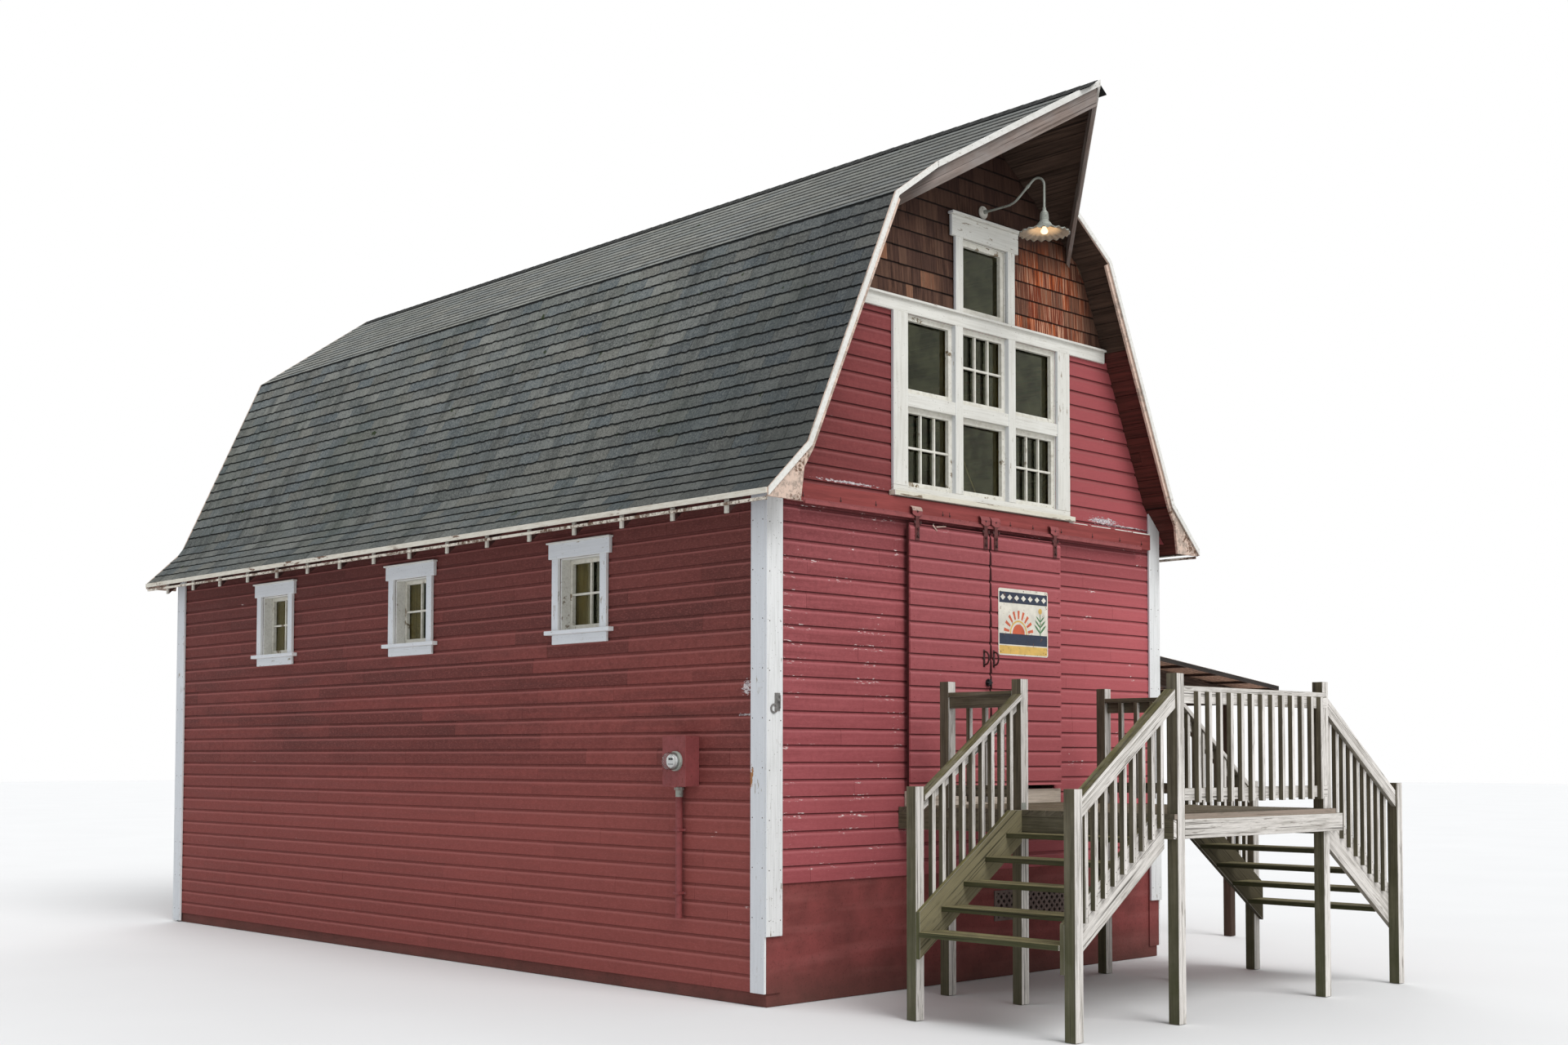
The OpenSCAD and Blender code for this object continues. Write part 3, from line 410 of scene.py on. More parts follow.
def red_paint(name, low, high, chips, shade_and_stain=0.0, sun=0.0, brow=0.0, peeled=(), lines=1.0, vary=0.4, shaded_seam=None):
    """Barn paint on siding, with painted sunlight, painted shade under the header, and a painted highlight
    and shade along each course. Grain v runs up each board from its foot to its cove.
    """
    p = Paint(name)
    v, seed = p.board[1:3]
    x, y, z = p.xyz[0:3]
    streak = p.noise(p.grain, (1.1, 22, 1), 4, 0.6)
    fine = p.noise(p.grain, (9, 420, 1), 3, 0.6)
    mottle = p.noise(p.spot, 21, 4, 0.7)
    where = p.noise(p.spot, 2.4, 3, 0.6)
    p.colour = p.mix(p.span(streak, 0.35, 0.68), low, high)
    p.coat(p.chance(seed), 0, 1, vary, high)
    p.coat(p.noise(p.spot, 1.3, 3, 0.6), 0.45, 0.75, 0.45, low)
    p.coat(mottle, 0.42, 0.70, 0.42, dim(low, 0.66))
    # Painted sunlight: lighter towards the right and low on the wall. brow lays painted shade under the
    # header. The extra chips to the left are wear.
    if sun:
        p.coat(x, -2.4, 2.3, sun, SUNNY_RED)
        p.coat(z, 3.0, 1.4, 0.42, dim(SUNNY_RED, 0.8))
        p.coat(z, 3.25, 3.90, brow, dim(low, 0.45))
        where = p.plus(where, p.span(x, 0.4, -1.6, 0, 0.05))
    # Side walls: lighter low on the wall. Darker towards the eave, partly soot and partly painted shade of
    # the overhang. Darker towards the rear as painted shade. Then stains in a band and on some planks.
    if shade_and_stain:
        p.coat(z, 2.0, 1.3, 0.50, dim(high, 1.22))
        rise = p.plus(z, p.span(streak, 0.3, 0.7, -0.25, 0.25))
        p.coat(rise, 2.5, 3.95, shade_and_stain, (0.075, 0.030, 0.026))
        p.coat(y, -2.5, 3.5, 0.22, dim(low, 0.45))
        stain = p.span(p.noise(p.spot, (0.9, 0.55, 2.4), 4, 0.65), 0.46, 0.62, 0, 0.45)
        band = p.times(p.span(z, 1.7, 2.1), p.span(z, 3.2, 2.8, 0.4, 1))
        p.lay(p.times(stain, band), (0.080, 0.030, 0.027))
        plank = p.span(p.chance(p.plus(seed, 17.7)), 0.45, 0.95, 0, 0.55)
        p.lay(p.times(plank, p.span(z, 1.5, 2.2, 0.2, 1)), (0.082, 0.027, 0.024))
    fleck = p.noise(p.spot, (38, 38, 120), 4, 0.75)
    p.coat(fleck, 0.52, 0.68, 0.42 if shade_and_stain else 0.28, dim(high, 1.30, 0.03))
    # Each course gets a painted highlight on the lip, and painted shade in the cove and under the foot of the
    # board above. lines sets how strong these are.
    height = p.plus(v, p.span(p.noise(p.grain, (5, 0, 1), 3, 0.6), 0.3, 0.7, -0.002, 0.002))
    lip_highlight = p.times(p.span(height, 0.087, 0.100), p.span(height, 0.113, 0.107))
    p.lay(p.times(lip_highlight, 0.55 if shade_and_stain else 0.42 * lines), dim(high, 1.35, 0.05))
    p.lay(p.times(p.span(height, 0.107, 0.113), 0.25 * lines), dim(low, 0.55))
    shade = p.most(p.span(height, 0.1235, 0.1275), p.span(v, 0.0025, 0.0005))
    p.lay(p.times(shade, 0.55 * lines), dim(low, 0.28))
    p.coat(fine, 0.3, 0.75, 0.16, (0.02, 0.008, 0.008))
    chip = p.noise(p.grain, (22, 90, 1), 3, 0.55)
    edge = p.most(p.span(height, 0.090, 0.100), p.span(v, 0.014, 0.005))
    edge = p.times(edge, p.span(height, 0.118, 0.114))
    bare = p.most(p.times(edge, p.span(chip, 0.60, 0.625)), p.span(chip, 0.725, 0.74))
    bare = p.times(bare, p.span(where, 0.70 - 0.13 * chips, 0.74 - 0.13 * chips))
    p.lay(bare, (0.70, 0.59, 0.57))
    for middle, half in peeled:
        cloud = p.span(p.noise(p.spot, 60, 3, 0.6), 0.4, 0.6)
        p.lay(p.patch(middle, half), p.mix(cloud, (0.30, 0.26, 0.28), (0.68, 0.62, 0.62)))
    # Painted shade down the gap between the two leaves.
    if shaded_seam is not None:
        off = p.math("ABSOLUTE", p.math("SUBTRACT", x, shaded_seam))
        off = p.plus(off, p.span(height, 0.0, 0.12, -0.004, 0.004))
        p.coat(off, 0.017, 0.011, 0.93, (0.030, 0.009, 0.009))
    bumps = [(fine, 0.002, 0.35), (mottle, 0.003, 0.12), (bare, 0.0015, 0.4)]
    return p.finish(p.span(streak, 0.3, 0.7, 0.62, 0.8), bumps, 0.12)


def plain_red(name, colour, pale=0.5, stretch=None):
    """The same paint on flat boards, worn along their upper edges."""
    p = Paint(name)
    grain = p.scaled(p.spot, stretch) if stretch else p.grain
    streak = p.noise(grain, (1.4, 26, 1), 4, 0.6)
    fine = p.noise(grain, (9, 420, 1), 3, 0.6)
    flake = p.span(p.noise(grain, (6, 60, 1), 4, 0.6), 0.66, 0.69)
    bare = p.times(flake, p.span(p.noise(p.spot, 2.3, 2, 0.5), 0.54, 0.62, 0, pale))
    p.colour = p.mix(p.span(streak, 0.35, 0.68), dim(colour, 0.66), colour)
    p.lay(bare, (0.46, 0.30, 0.26))
    p.coat(fine, 0.35, 0.75, 0.25, (0.03, 0.010, 0.010))
    return p.finish(0.72, [(fine, 0.002, 0.35), (bare, 0.0015, 0.4)], 0.12)


def white_paint(name, clean, stain, bare_wood, peel=0.5, side=None, stretch=None, zones=(), stains=()):
    """Chalky trim paint, streaked along the board, with nail dots and peeled spots. side is a bluish white
    laid on faces that look towards -X as painted shade.

    Each zone is a list of (axis, sign, limit) tests on the distance from the middle, and two colours.
    """
    p = Paint(name)
    along = p.scaled(p.spot, stretch) if stretch else p.scaled(p.grain, (3.0, 70, 1))
    streak = p.noise(along, 1, 4, 0.6)
    cloud = p.noise(p.spot, 2.2, 3, 0.6)
    p.colour = p.mix(p.span(streak, 0.45, 0.75, 0, 0.55), clean, stain)
    p.coat(cloud, 0.5, 0.8, 0.35, stain)
    # Faces that look towards -X turn bluish white: painted shade.
    if side:
        p.lay(p.times(p.away(0, 0.5), 0.6), side)
    p.coat(p.noise(p.spot, 75, 2, 0.5), 0.70, 0.73, 0.75, dim(bare_wood, 0.5))
    for tests, dark, light in zones:
        inside = 1.0
        for axis, sign, limit in tests:
            kind = "GREATER_THAN" if sign > 0 else "LESS_THAN"
            inside = p.times(p.math(kind, p.math("ABSOLUTE", p.xyz[axis]), limit), inside)
        tone = p.plus(p.noise(p.spot, 26, 4, 0.7), p.span(cloud, 0.3, 0.7, 0.14, -0.14))
        p.lay(inside, p.mix(p.span(tone, 0.38, 0.54), dark, light))
    flake = p.noise(p.scaled(along, (0.6, 0.6, 0.6) if stretch else (2.2, 0.45, 1)), 1, 4, 0.65)
    where = p.span(p.noise(p.spot, 2.9, 3, 0.6), 0.54, 0.60)
    bare = p.times(p.span(flake, 0.66 - 0.09 * peel, 0.69 - 0.09 * peel), where)
    p.lay(bare, bare_wood)
    for middle, half, rust in stains:
        p.lay(p.patch(middle, half, (30, 30, 16)), rust)
    return p.finish(0.62, [(streak, 0.002, 0.35), (bare, 0.002, -0.5)], 0.25)


def wood(
    name, low, high, grey=None, moss=None, front=None, left=None, under=None, rough=0.85, crack=0.8,
):
    """Weathered board: streaks along its own grain, with moss on top faces, paler fronts that are partly
    bleaching and partly painted light, and darker left faces that are partly stain and partly painted shade.
    """
    p = Paint(name)
    streak = p.noise(p.grain, (1.6, 34, 1), 5, 0.7)
    split = p.noise(p.grain, (0.9, 85, 1), 2, 0.5)
    fine = p.noise(p.grain, (14, 420, 1), 3, 0.6)
    blotch = p.noise(p.spot, 4, 3, 0.6)
    p.colour = p.mix(p.span(streak, 0.34, 0.66), low, high)
    if grey:
        p.coat(blotch, 0.42, 0.68, 0.7, grey)
    if under:
        chip = p.span(p.noise(p.spot, 34, 3, 0.6), 0.38, 0.62)
        p.lay(p.away(2), p.mix(chip, dim(under, 0.6), dim(under, 1.3)))
    # Faces that look towards -Y are paler: partly bleached wood, partly painted light.
    if front:
        p.lay(p.times(p.away(1), p.span(streak, 0.36, 0.54, 0.45, 1)), front)
        knot = p.noise(p.grain, (5, 40, 1), 3, 0.55)
        p.lay(p.times(p.away(1), p.span(knot, 0.60, 0.68, 0, 0.55)), low)
    # Faces that look towards -X are darker and greener towards the ground: partly stain and moss, partly
    # painted shade.
    if left:
        stained_and_shaded = p.mix(p.span(streak, 0.35, 0.65), dim(left, 0.5), dim(left, 1.5))
        stained_and_shaded = p.mix(p.span(p.xyz[2], 1.7, 0.3, 0, 0.6), stained_and_shaded, (0.070, 0.082, 0.034))
        p.lay(p.times(p.away(0), p.span(blotch, 0.35, 0.6, 0.82, 1)), stained_and_shaded)
    if moss:
        patch = p.span(p.noise(p.spot, 8, 4, 0.65), 0.35, 0.58, 0.60, 1)
        green = p.mix(p.span(streak, 0.38, 0.62), dim(moss, 0.45), dim(moss, 1.6))
        p.lay(p.times(p.span(p.face[2], 0.4, 0.8), patch), green)
    p.coat(p.chance(p.board[2]), 0, 1, 0.22, low)
    p.coat(split, 0.60, 0.66, crack, dim(low, 0.28))
    p.coat(fine, 0.45, 0.75, 0.30, dim(low, 0.35))
    return p.finish(rough, [(fine, 0.003, 0.6), (split, 0.004, -0.3)])


def asphalt(name):
    """Mineral-faced shingles. Grain v is the distance up the slope from the shingle's butt."""
    p = Paint(name)
    v, seed = p.board[1:3]
    y, z = p.xyz[1:3]
    tone, hue = p.chance(seed), p.chance(p.plus(seed, 31.7))
    speck = p.noise(p.spot, 60, 3, 0.75)
    streak = p.noise(p.spot, (3.0, 5.0, 0.9), 4, 0.65)
    upper = p.span(z, BREAK[1] + 0.01, BREAK[1] + 0.03)
    p.colour = p.mix(p.span(tone, 0, 0.5), (0.088, 0.096, 0.098), (0.150, 0.158, 0.152))
    p.coat(tone, 0.5, 1, 1, (0.235, 0.240, 0.222))
    p.coat(hue, 0.60, 0.9, 0.55, (0.095, 0.125, 0.150))
    p.coat(hue, 0.30, 0.1, 0.50, (0.175, 0.165, 0.140))
    p.coat(speck, 0.47, 0.70, 0.75, (0.350, 0.360, 0.325))
    p.coat(speck, 0.46, 0.30, 0.85, (0.030, 0.033, 0.034))
    p.coat(streak, 0.50, 0.70, 0.60, (0.045, 0.050, 0.047))
    p.coat(p.noise(p.spot, 0.9, 3, 0.6), 0.48, 0.72, 0.30, (0.095, 0.115, 0.085))
    p.coat(y, -2.2, -5.0, 0.55, (0.036, 0.040, 0.045))
    p.coat(z, 6.2, 4.2, 0.30, (0.040, 0.046, 0.044))
    p.lay(p.times(upper, 0.24), (0.46, 0.46, 0.42))
    # Painted shadow under each course's butt and at its foot.
    wander = p.span(p.noise(p.spot, (0.1, 14, 3), 3, 0.7), 0.3, 0.7, -0.010, 0.010)
    height = p.plus(p.plus(v, wander), p.times(upper, 0.022))
    line = p.most(p.span(height, 0.104, 0.116), p.span(height, 0.004, 0.0))
    p.lay(p.times(line, 0.95), (0.008, 0.009, 0.009))
    p.coat(p.noise(p.spot, 6.5, 3, 0.6), 0.69, 0.74, 0.9, (0.022, 0.034, 0.010))
    return p.finish(0.92, [(speck, 0.003, 0.7)], 0.12)


def cedar(name):
    """Split shingles, dark with age, worn back to warm wood low on the right, with painted shade towards the
    top, towards the rake and under each butt.
    """
    p = Paint(name)
    v, seed = p.board[1:3]
    x, y, z = p.xyz[0:3]
    tone = p.chance(seed)
    across = p.node("CombineXYZ", in0=p.times(x, 38), in1=p.times(z, 3), in2=seed).outputs[0]
    streak = p.noise(across, 1, 4, 0.65)
    thread = p.noise(across, (2.4, 0.5, 1), 3, 0.6)
    p.colour = p.mix(p.span(streak, 0.36, 0.62), (0.024, 0.011, 0.008), (0.108, 0.055, 0.037))
    p.coat(tone, 0.45, 0.70, 0.6, (0.050, 0.025, 0.019))
    p.coat(tone, 0.40, 0.15, 0.5, (0.132, 0.072, 0.048))
    # Darker towards the top: painted shade under the hood.
    p.coat(z, 6.25, 6.95, 0.60, (0.028, 0.013, 0.010))
    # Warm worn wood low on the right, partly painted sunlight, fading into painted shade towards the rake. A
    # few warm shingles low on the left.
    warm = p.mix(p.span(streak, 0.36, 0.56), (0.100, 0.018, 0.010), (0.46, 0.100, 0.026))
    warm = p.mix(p.span(p.chance(p.plus(seed, 12.3)), 0.45, 0.65, 0, 0.80), warm, (0.115, 0.026, 0.016))
    warm = p.mix(p.span(thread, 0.53, 0.60, 0, 0.85), warm, (0.74, 0.42, 0.27))
    warm = p.mix(p.span(x, 0.0, -0.4, 0, 0.75), warm, (0.27, 0.145, 0.085))
    side = p.times(p.span(x, 0.20, 0.60), p.span(x, 1.60, 1.10))
    height = p.span(p.math("SUBTRACT", z, p.span(x, 0.6, 1.2, 0, 0.2)), 6.50, 6.10)
    amount = p.times(p.times(side, height), p.span(tone, 0.10, 0.40, 0.25, 1))
    few = p.times(p.span(z, 6.45, 6.25), p.span(x, -0.5, -0.8, 0, 0.75))
    p.lay(p.most(amount, p.times(few, p.span(tone, 0.86, 0.90))), warm)
    # Painted shadow under each butt and at its foot.
    line = p.most(p.span(v, 0.136, 0.146), p.span(v, 0.004, 0.0))
    p.lay(p.times(line, 0.9), (0.006, 0.004, 0.003))
    return p.finish(0.8, [(streak, 0.004, 0.6)])


def masonry(name):
    """Painted footing, with painted shade for the space under the floor behind the lattice."""
    p = Paint(name)
    grit = p.noise(p.spot, 55, 4, 0.7)
    form = p.noise(p.spot, (0.8, 0.8, 9), 2, 0.5)
    blotch = p.span(p.noise(p.spot, 3.2, 4, 0.6), 0.35, 0.7)
    p.colour = p.mix(blotch, (0.26, 0.066, 0.062), (0.165, 0.046, 0.042))
    p.coat(form, 0.5, 0.7, 0.35, (0.34, 0.12, 0.11))
    p.coat(grit, 0.56, 0.72, 0.6, (0.07, 0.025, 0.022))
    p.lay(p.span(p.xyz[2], 0.0, 0.35, 0.55, 0), (0.060, 0.048, 0.036))
    # Painted shade behind the lattice.
    low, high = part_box("deck_lattice")
    inside = 1.0
    for axis, lo, hi in ((0, low[0], high[0]), (2, low[2], high[2]), (1, -9, FRONT + 0.1)):
        for kind, limit in (("GREATER_THAN", lo + 0.004), ("LESS_THAN", hi - 0.004)):
            inside = p.times(p.math(kind, p.xyz[axis], limit), inside)
    p.lay(inside, p.mix(p.span(grit, 0.4, 0.6), (0.010, 0.008, 0.007), (0.030, 0.022, 0.018)))
    return p.finish(0.85, [(grit, 0.006, 0.6), (form, 0.01, 0.4)])


def metal(name, colour, rust, amount=0.5, rough=0.5, metallic=0.0, scale=38, lit=None):
    """Painted or bare metal with worn spots. lit is the lamp's place along Y, round which a painted glow of
    lamplight is laid.
    """
    p = Paint(name)
    wear = p.noise(p.spot, scale, 4, 0.7)
    p.colour = p.mix(p.span(p.noise(p.spot, 9, 3, 0.6), 0.35, 0.7, 0, 0.6), colour, dim(colour, 0.62))
    p.coat(wear, 0.62 - 0.08 * amount, 0.70, 0.9, rust)
    # Painted glow of lamplight on the inside of the shade, round the lamp.
    if lit:
        across = p.node("CombineXYZ", in0=p.xyz[0], in1=p.math("SUBTRACT", p.xyz[1], lit)).outputs[0]
        far = p.node("VectorMath", operation="LENGTH", in0=across).outputs["Value"]
        p.glow(p.mix(p.span(far, 0.150, 0.095), (0, 0, 0), (1.0, 0.60, 0.28)), 0.55)
    return p.finish(p.span(wear, 0.4, 0.7, rough, min(1, rough + 0.3)), [(wear, 0.001, 0.4)], 0.3, metallic)


def glass(name, tint, ior, shine=(1.0, 1.0, 1.0)):
    p = Paint(name)
    smear = p.noise(p.spot, 7, 4, 0.65)
    p.colour = p.mix(p.span(p.noise(p.spot, 90, 2, 0.6), 0.45, 0.75, 0, 0.5), tint, dim(tint, 0.7))
    # Painted reflection of leaves, as a mottled tint on the glass's reflections.
    leaf_reflection = p.span(p.noise(p.spot, 5, 4, 0.7), 0.40, 0.60)
    p.plug(p.bsdf.inputs["Specular Tint"], p.mix(leaf_reflection, dim(shine, 0.4), shine))
    p.bsdf.inputs["Transmission Weight"].default_value = 1.0
    p.bsdf.inputs["IOR"].default_value = ior
    return p.finish(p.span(smear, 0.4, 0.8, 0.01, 0.12), [(smear, 0.001, 0.12)], 0.5)


def glowing(name, colour, strength):
    """Frosted lit bulb."""
    p = Paint(name)
    p.colour = p.mix(p.span(p.noise(p.spot, 30, 2, 0.5), 0.4, 0.7, 0, 0.3), colour, dim(colour, 0.8))
    p.glow(p.colour, strength)
    return p.finish(0.4, (), 0.3)


SUNNY_RED = (0.580, 0.135, 0.150)
FRONT_RED = red_paint("front_paint", (0.235, 0.056, 0.060), (0.375, 0.102, 0.110), 0.92, 0, 0.68, 0.62)
# The gable takes a darker copy of the barn red as painted shade, lightened towards the right by painted
# sunlight.
GABLE_RED = red_paint("gable_paint", (0.130, 0.030, 0.029), (0.208, 0.053, 0.051), 0.12, sun=0.62, peeled=(
    ((1.735, 0, 4.095), (0.200, 0, 0.030)), ((-1.70, 0, 4.088), (0.300, 0, 0.010)),
    ((2.10, 0, 4.072), (0.320, 0, 0.008)),
))
# The side and rear walls take a darker copy of the barn red as painted shade.
SIDE_RED = red_paint("side_paint", (0.168, 0.042, 0.037), (0.270, 0.072, 0.064), 0.15, 0.62, peeled=(
    ((-HALF_W, FRONT + 0.225, 2.43), (0.2, 0.045, 0.050)),
    ((-HALF_W, FRONT + 0.24, 2.22), (0.2, 0.090, 0.008)),
), lines=0.45, vary=0.75)
DOOR_RED = red_paint(
    "door_paint", (0.258, 0.068, 0.073), (0.378, 0.108, 0.117), 0.3, 0, 0.60, 0.30, shaded_seam=SPLIT_X,
)
BOARD_RED = plain_red("header_paint", (0.335, 0.075, 0.070), 0.35)
# Pale pinkish tan for the header's lower edge: painted highlight.
HEADER_EDGE_HIGHLIGHT = plain_red("header_edge_highlight", (0.56, 0.36, 0.32), 0.6)
# Dark red for the leaves' edges: painted shade.
DOOR_EDGE_SHADE = plain_red("door_edge_shade", (0.075, 0.020, 0.020), 0.3)
LATTICE_GREY = plain_red("lattice_paint", (0.215, 0.160, 0.140), 0.3, (6, 1, 1))

# Bluish white for trim faces that look towards -X: painted shade.
SHADED_SIDE_WHITE = (0.61, 0.65, 0.71)
PLATE_TAN = (0.36, 0.285, 0.235), (0.66, 0.50, 0.41)
TRIM = white_paint(
    "trim_paint", (0.775, 0.780, 0.775), (0.50, 0.51, 0.49), (0.30, 0.26, 0.21), side=SHADED_SIDE_WHITE,
    stains=[((-HALF_W - 0.022, FRONT + 0.150, 1.73), (0.1, 0.020, 0.070), (0.36, 0.17, 0.07))],
)
CASING = white_paint(
    "casing_paint", (0.715, 0.705, 0.655), (0.47, 0.45, 0.39), (0.30, 0.25, 0.19), 0.45, SHADED_SIDE_WHITE,
)
EDGE_TRIM, SILL_TRIM, RAKE_TRIM, EAVE_TRIM, TAIL_TRIM, SASH = (
    white_paint(name, clean, stain, bare, peel, None, stretch, zones)
    for name, clean, stain, bare, peel, stretch, zones in (
        ("edge_paint", (0.74, 0.73, 0.68), (0.47, 0.45, 0.40), (0.26, 0.21, 0.16), 0.6, (40, 3, 40), ()),
        ("sill_paint", (0.68, 0.645, 0.54), (0.42, 0.37, 0.28), (0.20, 0.15, 0.10), 1.2, (3, 30, 30), ()),
        ("rake_paint", (0.76, 0.75, 0.71), (0.50, 0.48, 0.43), (0.26, 0.21, 0.16), 0.5, (40, 3, 40), [
            ([(1, -1, -ROOF_FRONT + 0.0135)], *PLATE_TAN),
        ]),
        ("eave_paint", (0.71, 0.68, 0.60), (0.45, 0.38, 0.29), (0.15, 0.085, 0.055), 1.5, (60, 9, 60), [
            ([(0, -1, EAVE[0] + 0.0006)], (0.14, 0.085, 0.055), (0.74, 0.69, 0.60)),
            ([(0, -1, EAVE[0] + 0.0006), (1, 1, -ROOF_FRONT - 0.0185)], *PLATE_TAN),
        ]),
        # Rafter tails: dark brown in from the white ends, partly the wood and partly painted shade.
        ("tail_paint", (0.60, 0.58, 0.52), (0.36, 0.32, 0.26), (0.10, 0.07, 0.05), 0.5, (9, 40, 40), [
            ([(0, -1, EAVE[0] - 0.040)], (0.030, 0.014, 0.012), (0.085, 0.035, 0.030)),
        ]),
        ("sash_paint", (0.72, 0.70, 0.63), (0.44, 0.41, 0.33), (0.22, 0.17, 0.11), 1.0, (20, 20, 20), ()),
    )
)
ASPHALT = asphalt("asphalt_shingle")
CEDAR = cedar("cedar_shingle")
DECK_WOOD, TREAD_WOOD, PLANK_WOOD, SHADED_WOOD, MOSSY_SHADED_WOOD = (wood(*tones) for tones in (
    (
        "deck_timber", (0.150, 0.128, 0.098), (0.36, 0.33, 0.275), (0.27, 0.26, 0.23),
        (0.115, 0.104, 0.045), (0.84, 0.80, 0.755), (0.100, 0.086, 0.054),
    ),
    (
        "tread_timber", (0.070, 0.060, 0.038), (0.17, 0.15, 0.100), (0.12, 0.110, 0.075),
        (0.235, 0.205, 0.105), (0.50, 0.47, 0.40), (0.058, 0.055, 0.026),
    ),
    (
        "plank_timber", (0.150, 0.128, 0.098), (0.36, 0.33, 0.275), (0.27, 0.26, 0.23),
        (0.130, 0.105, 0.060), (0.34, 0.27, 0.22), (0.108, 0.090, 0.062),
    ),
    # Right flight's stringer by the landing: dark timber as painted shade under the deck.
    (
        "shaded_timber", (0.050, 0.042, 0.028), (0.12, 0.105, 0.070), (0.085, 0.078, 0.052),
        (0.110, 0.098, 0.045), (0.105, 0.088, 0.052), (0.060, 0.052, 0.026),
    ),
    # Mossy timber, also darker as painted shade, for the left flight's stringer by the landing and for the
    # rim against the wall.
    (
        "mossy_shaded_timber", (0.110, 0.095, 0.060), (0.27, 0.24, 0.165), (0.20, 0.185, 0.125),
        (0.150, 0.136, 0.055), (0.245, 0.215, 0.125), (0.100, 0.094, 0.045),
    ),
))
SILL_BLOCK = wood("sill_block", (0.38, 0.31, 0.25), (0.74, 0.64, 0.54), (0.58, 0.50, 0.43), crack=0.3)
BARE = wood("bare_board", (0.17, 0.130, 0.110), (0.37, 0.30, 0.265), (0.31, 0.285, 0.270))
TAN_BOARD = wood("tan_board", (0.36, 0.23, 0.19), (0.58, 0.43, 0.37), (0.44, 0.38, 0.35), crack=0.4)
DARK_WOOD = wood("dark_board", (0.035, 0.022, 0.016), (0.10, 0.062, 0.045))
SOFFIT_RED = wood("red_soffit", (0.060, 0.020, 0.016), (0.155, 0.042, 0.034))
INNER_WOOD = wood("inner_board", (0.09, 0.055, 0.034), (0.20, 0.13, 0.085))
POST_WOOD = wood("inner_post", (0.16, 0.10, 0.055), (0.34, 0.22, 0.13), crack=0.5)
SHED_TOP = wood(
    "shed_board", (0.060, 0.024, 0.018), (0.28, 0.15, 0.11), (0.34, 0.27, 0.24), under=(0.42, 0.25, 0.17),
    rough=0.9,
)
SHED_EDGE = wood("shed_edge", (0.016, 0.014, 0.013), (0.060, 0.050, 0.044), rough=0.8)
FLOOR_WOOD = wood("floor_board", (0.20, 0.14, 0.09), (0.36, 0.27, 0.18), (0.28, 0.24, 0.19))
MASONRY = masonry("red_masonry")
RED_METAL = metal("red_fitting", (0.060, 0.018, 0.017), (0.022, 0.010, 0.008), 0.8, 0.55)
# Near-black red for the hanger straps: their red paint darkened as painted shade.
STRAP_METAL = metal("strap_fitting", (0.120, 0.032, 0.030), (0.035, 0.014, 0.011), 1.0, 0.6)
RAIL_METAL = metal("rail_fitting", (0.30, 0.078, 0.078), (0.10, 0.035, 0.03), 0.5, 0.6)
TAN_METAL = metal("tan_fitting", (0.50, 0.36, 0.30), (0.12, 0.050, 0.040), 0.8, 0.7)
RED_BOX = metal("red_box", (0.24, 0.056, 0.056), (0.09, 0.03, 0.02), 0.3, 0.55)
BLACK_METAL = metal("black_fitting", (0.012, 0.012, 0.014), (0.04, 0.025, 0.02), 0.3, 0.45)
GREY_METAL = metal("grey_fitting", (0.23, 0.22, 0.21), (0.11, 0.055, 0.035), 0.8, 0.5, 0.3)
GALVANISED = metal("galvanised", (0.36, 0.38, 0.34), (0.18, 0.17, 0.13), 0.5, 0.5, 0.3)
PALE_METAL = metal("pale_metal", (0.66, 0.64, 0.58), (0.30, 0.25, 0.18), 0.5, 0.5, 0.1)
SHADE_INSIDE = metal("shade_inside", (0.34, 0.27, 0.20), (0.16, 0.12, 0.08), 0.4, 0.6, lit=FRONT - 0.666)
METER = metal("meter_case", (0.33, 0.34, 0.34), (0.2, 0.2, 0.2), 0.2, 0.35)
METER_FACE = metal("meter_face", (0.86, 0.87, 0.86), (0.6, 0.6, 0.6), 0.1, 0.4)
NAIL = metal("nail_head", (0.09, 0.065, 0.052), (0.04, 0.02, 0.012), 0.8, 0.6)
ROOF_EDGE = metal("roof_edge", (0.030, 0.030, 0.030), (0.05, 0.04, 0.03), 0.3, 0.7)
ENAMELS = [
    metal("enamel_" + tone, colour, (0.20, 0.10, 0.055), 0.25, 0.35, 0.0, 22) for tone, colour in (
        ("cream", (0.80, 0.76, 0.66)), ("navy", (0.022, 0.032, 0.060)), ("yellow", (0.78, 0.50, 0.13)),
        ("orange", (0.66, 0.13, 0.055)), ("green", (0.10, 0.22, 0.10)),
    )
]
GLASS = glass("window_pane", (0.70, 0.76, 0.54), 1.38, (1.0, 1.0, 0.62))
CLEAR = glass("meter_dome", (0.93, 0.94, 0.94), 1.35)
BULB = glowing("lit_bulb", (1.0, 0.78, 0.50), 1.4)


# Walls: a is the place along a wall and d the distance out of it
def front_at(a, d, z):
    return a, FRONT - d, z


def rear_at(a, d, z):
    return a, REAR + d, z


def left_at(a, d, z):
    return -HALF_W - d, a, z


def right_at(a, d, z):
    return HALF_W + d, a, z


def leaf_at(a, d, z):
    return a, LEAF_Y - d, z


def board(heap, at, a, d, z, axis, slot=0):
    """Board between two places along a wall, two distances out of it and two heights."""
    p, q = at(a[0], d[0], z[0]), at(a[1], d[1], z[1])
    heap.box([min(c) for c in zip(p, q)], [max(c) for c in zip(p, q)], axis, slot)


def level(heap, at, a, half, d, z, axis=X_AXIS, slot=0):
    """Level board that reaches as far to both sides of a."""
    board(heap, at, (a - half, a + half), d, z, axis, slot)


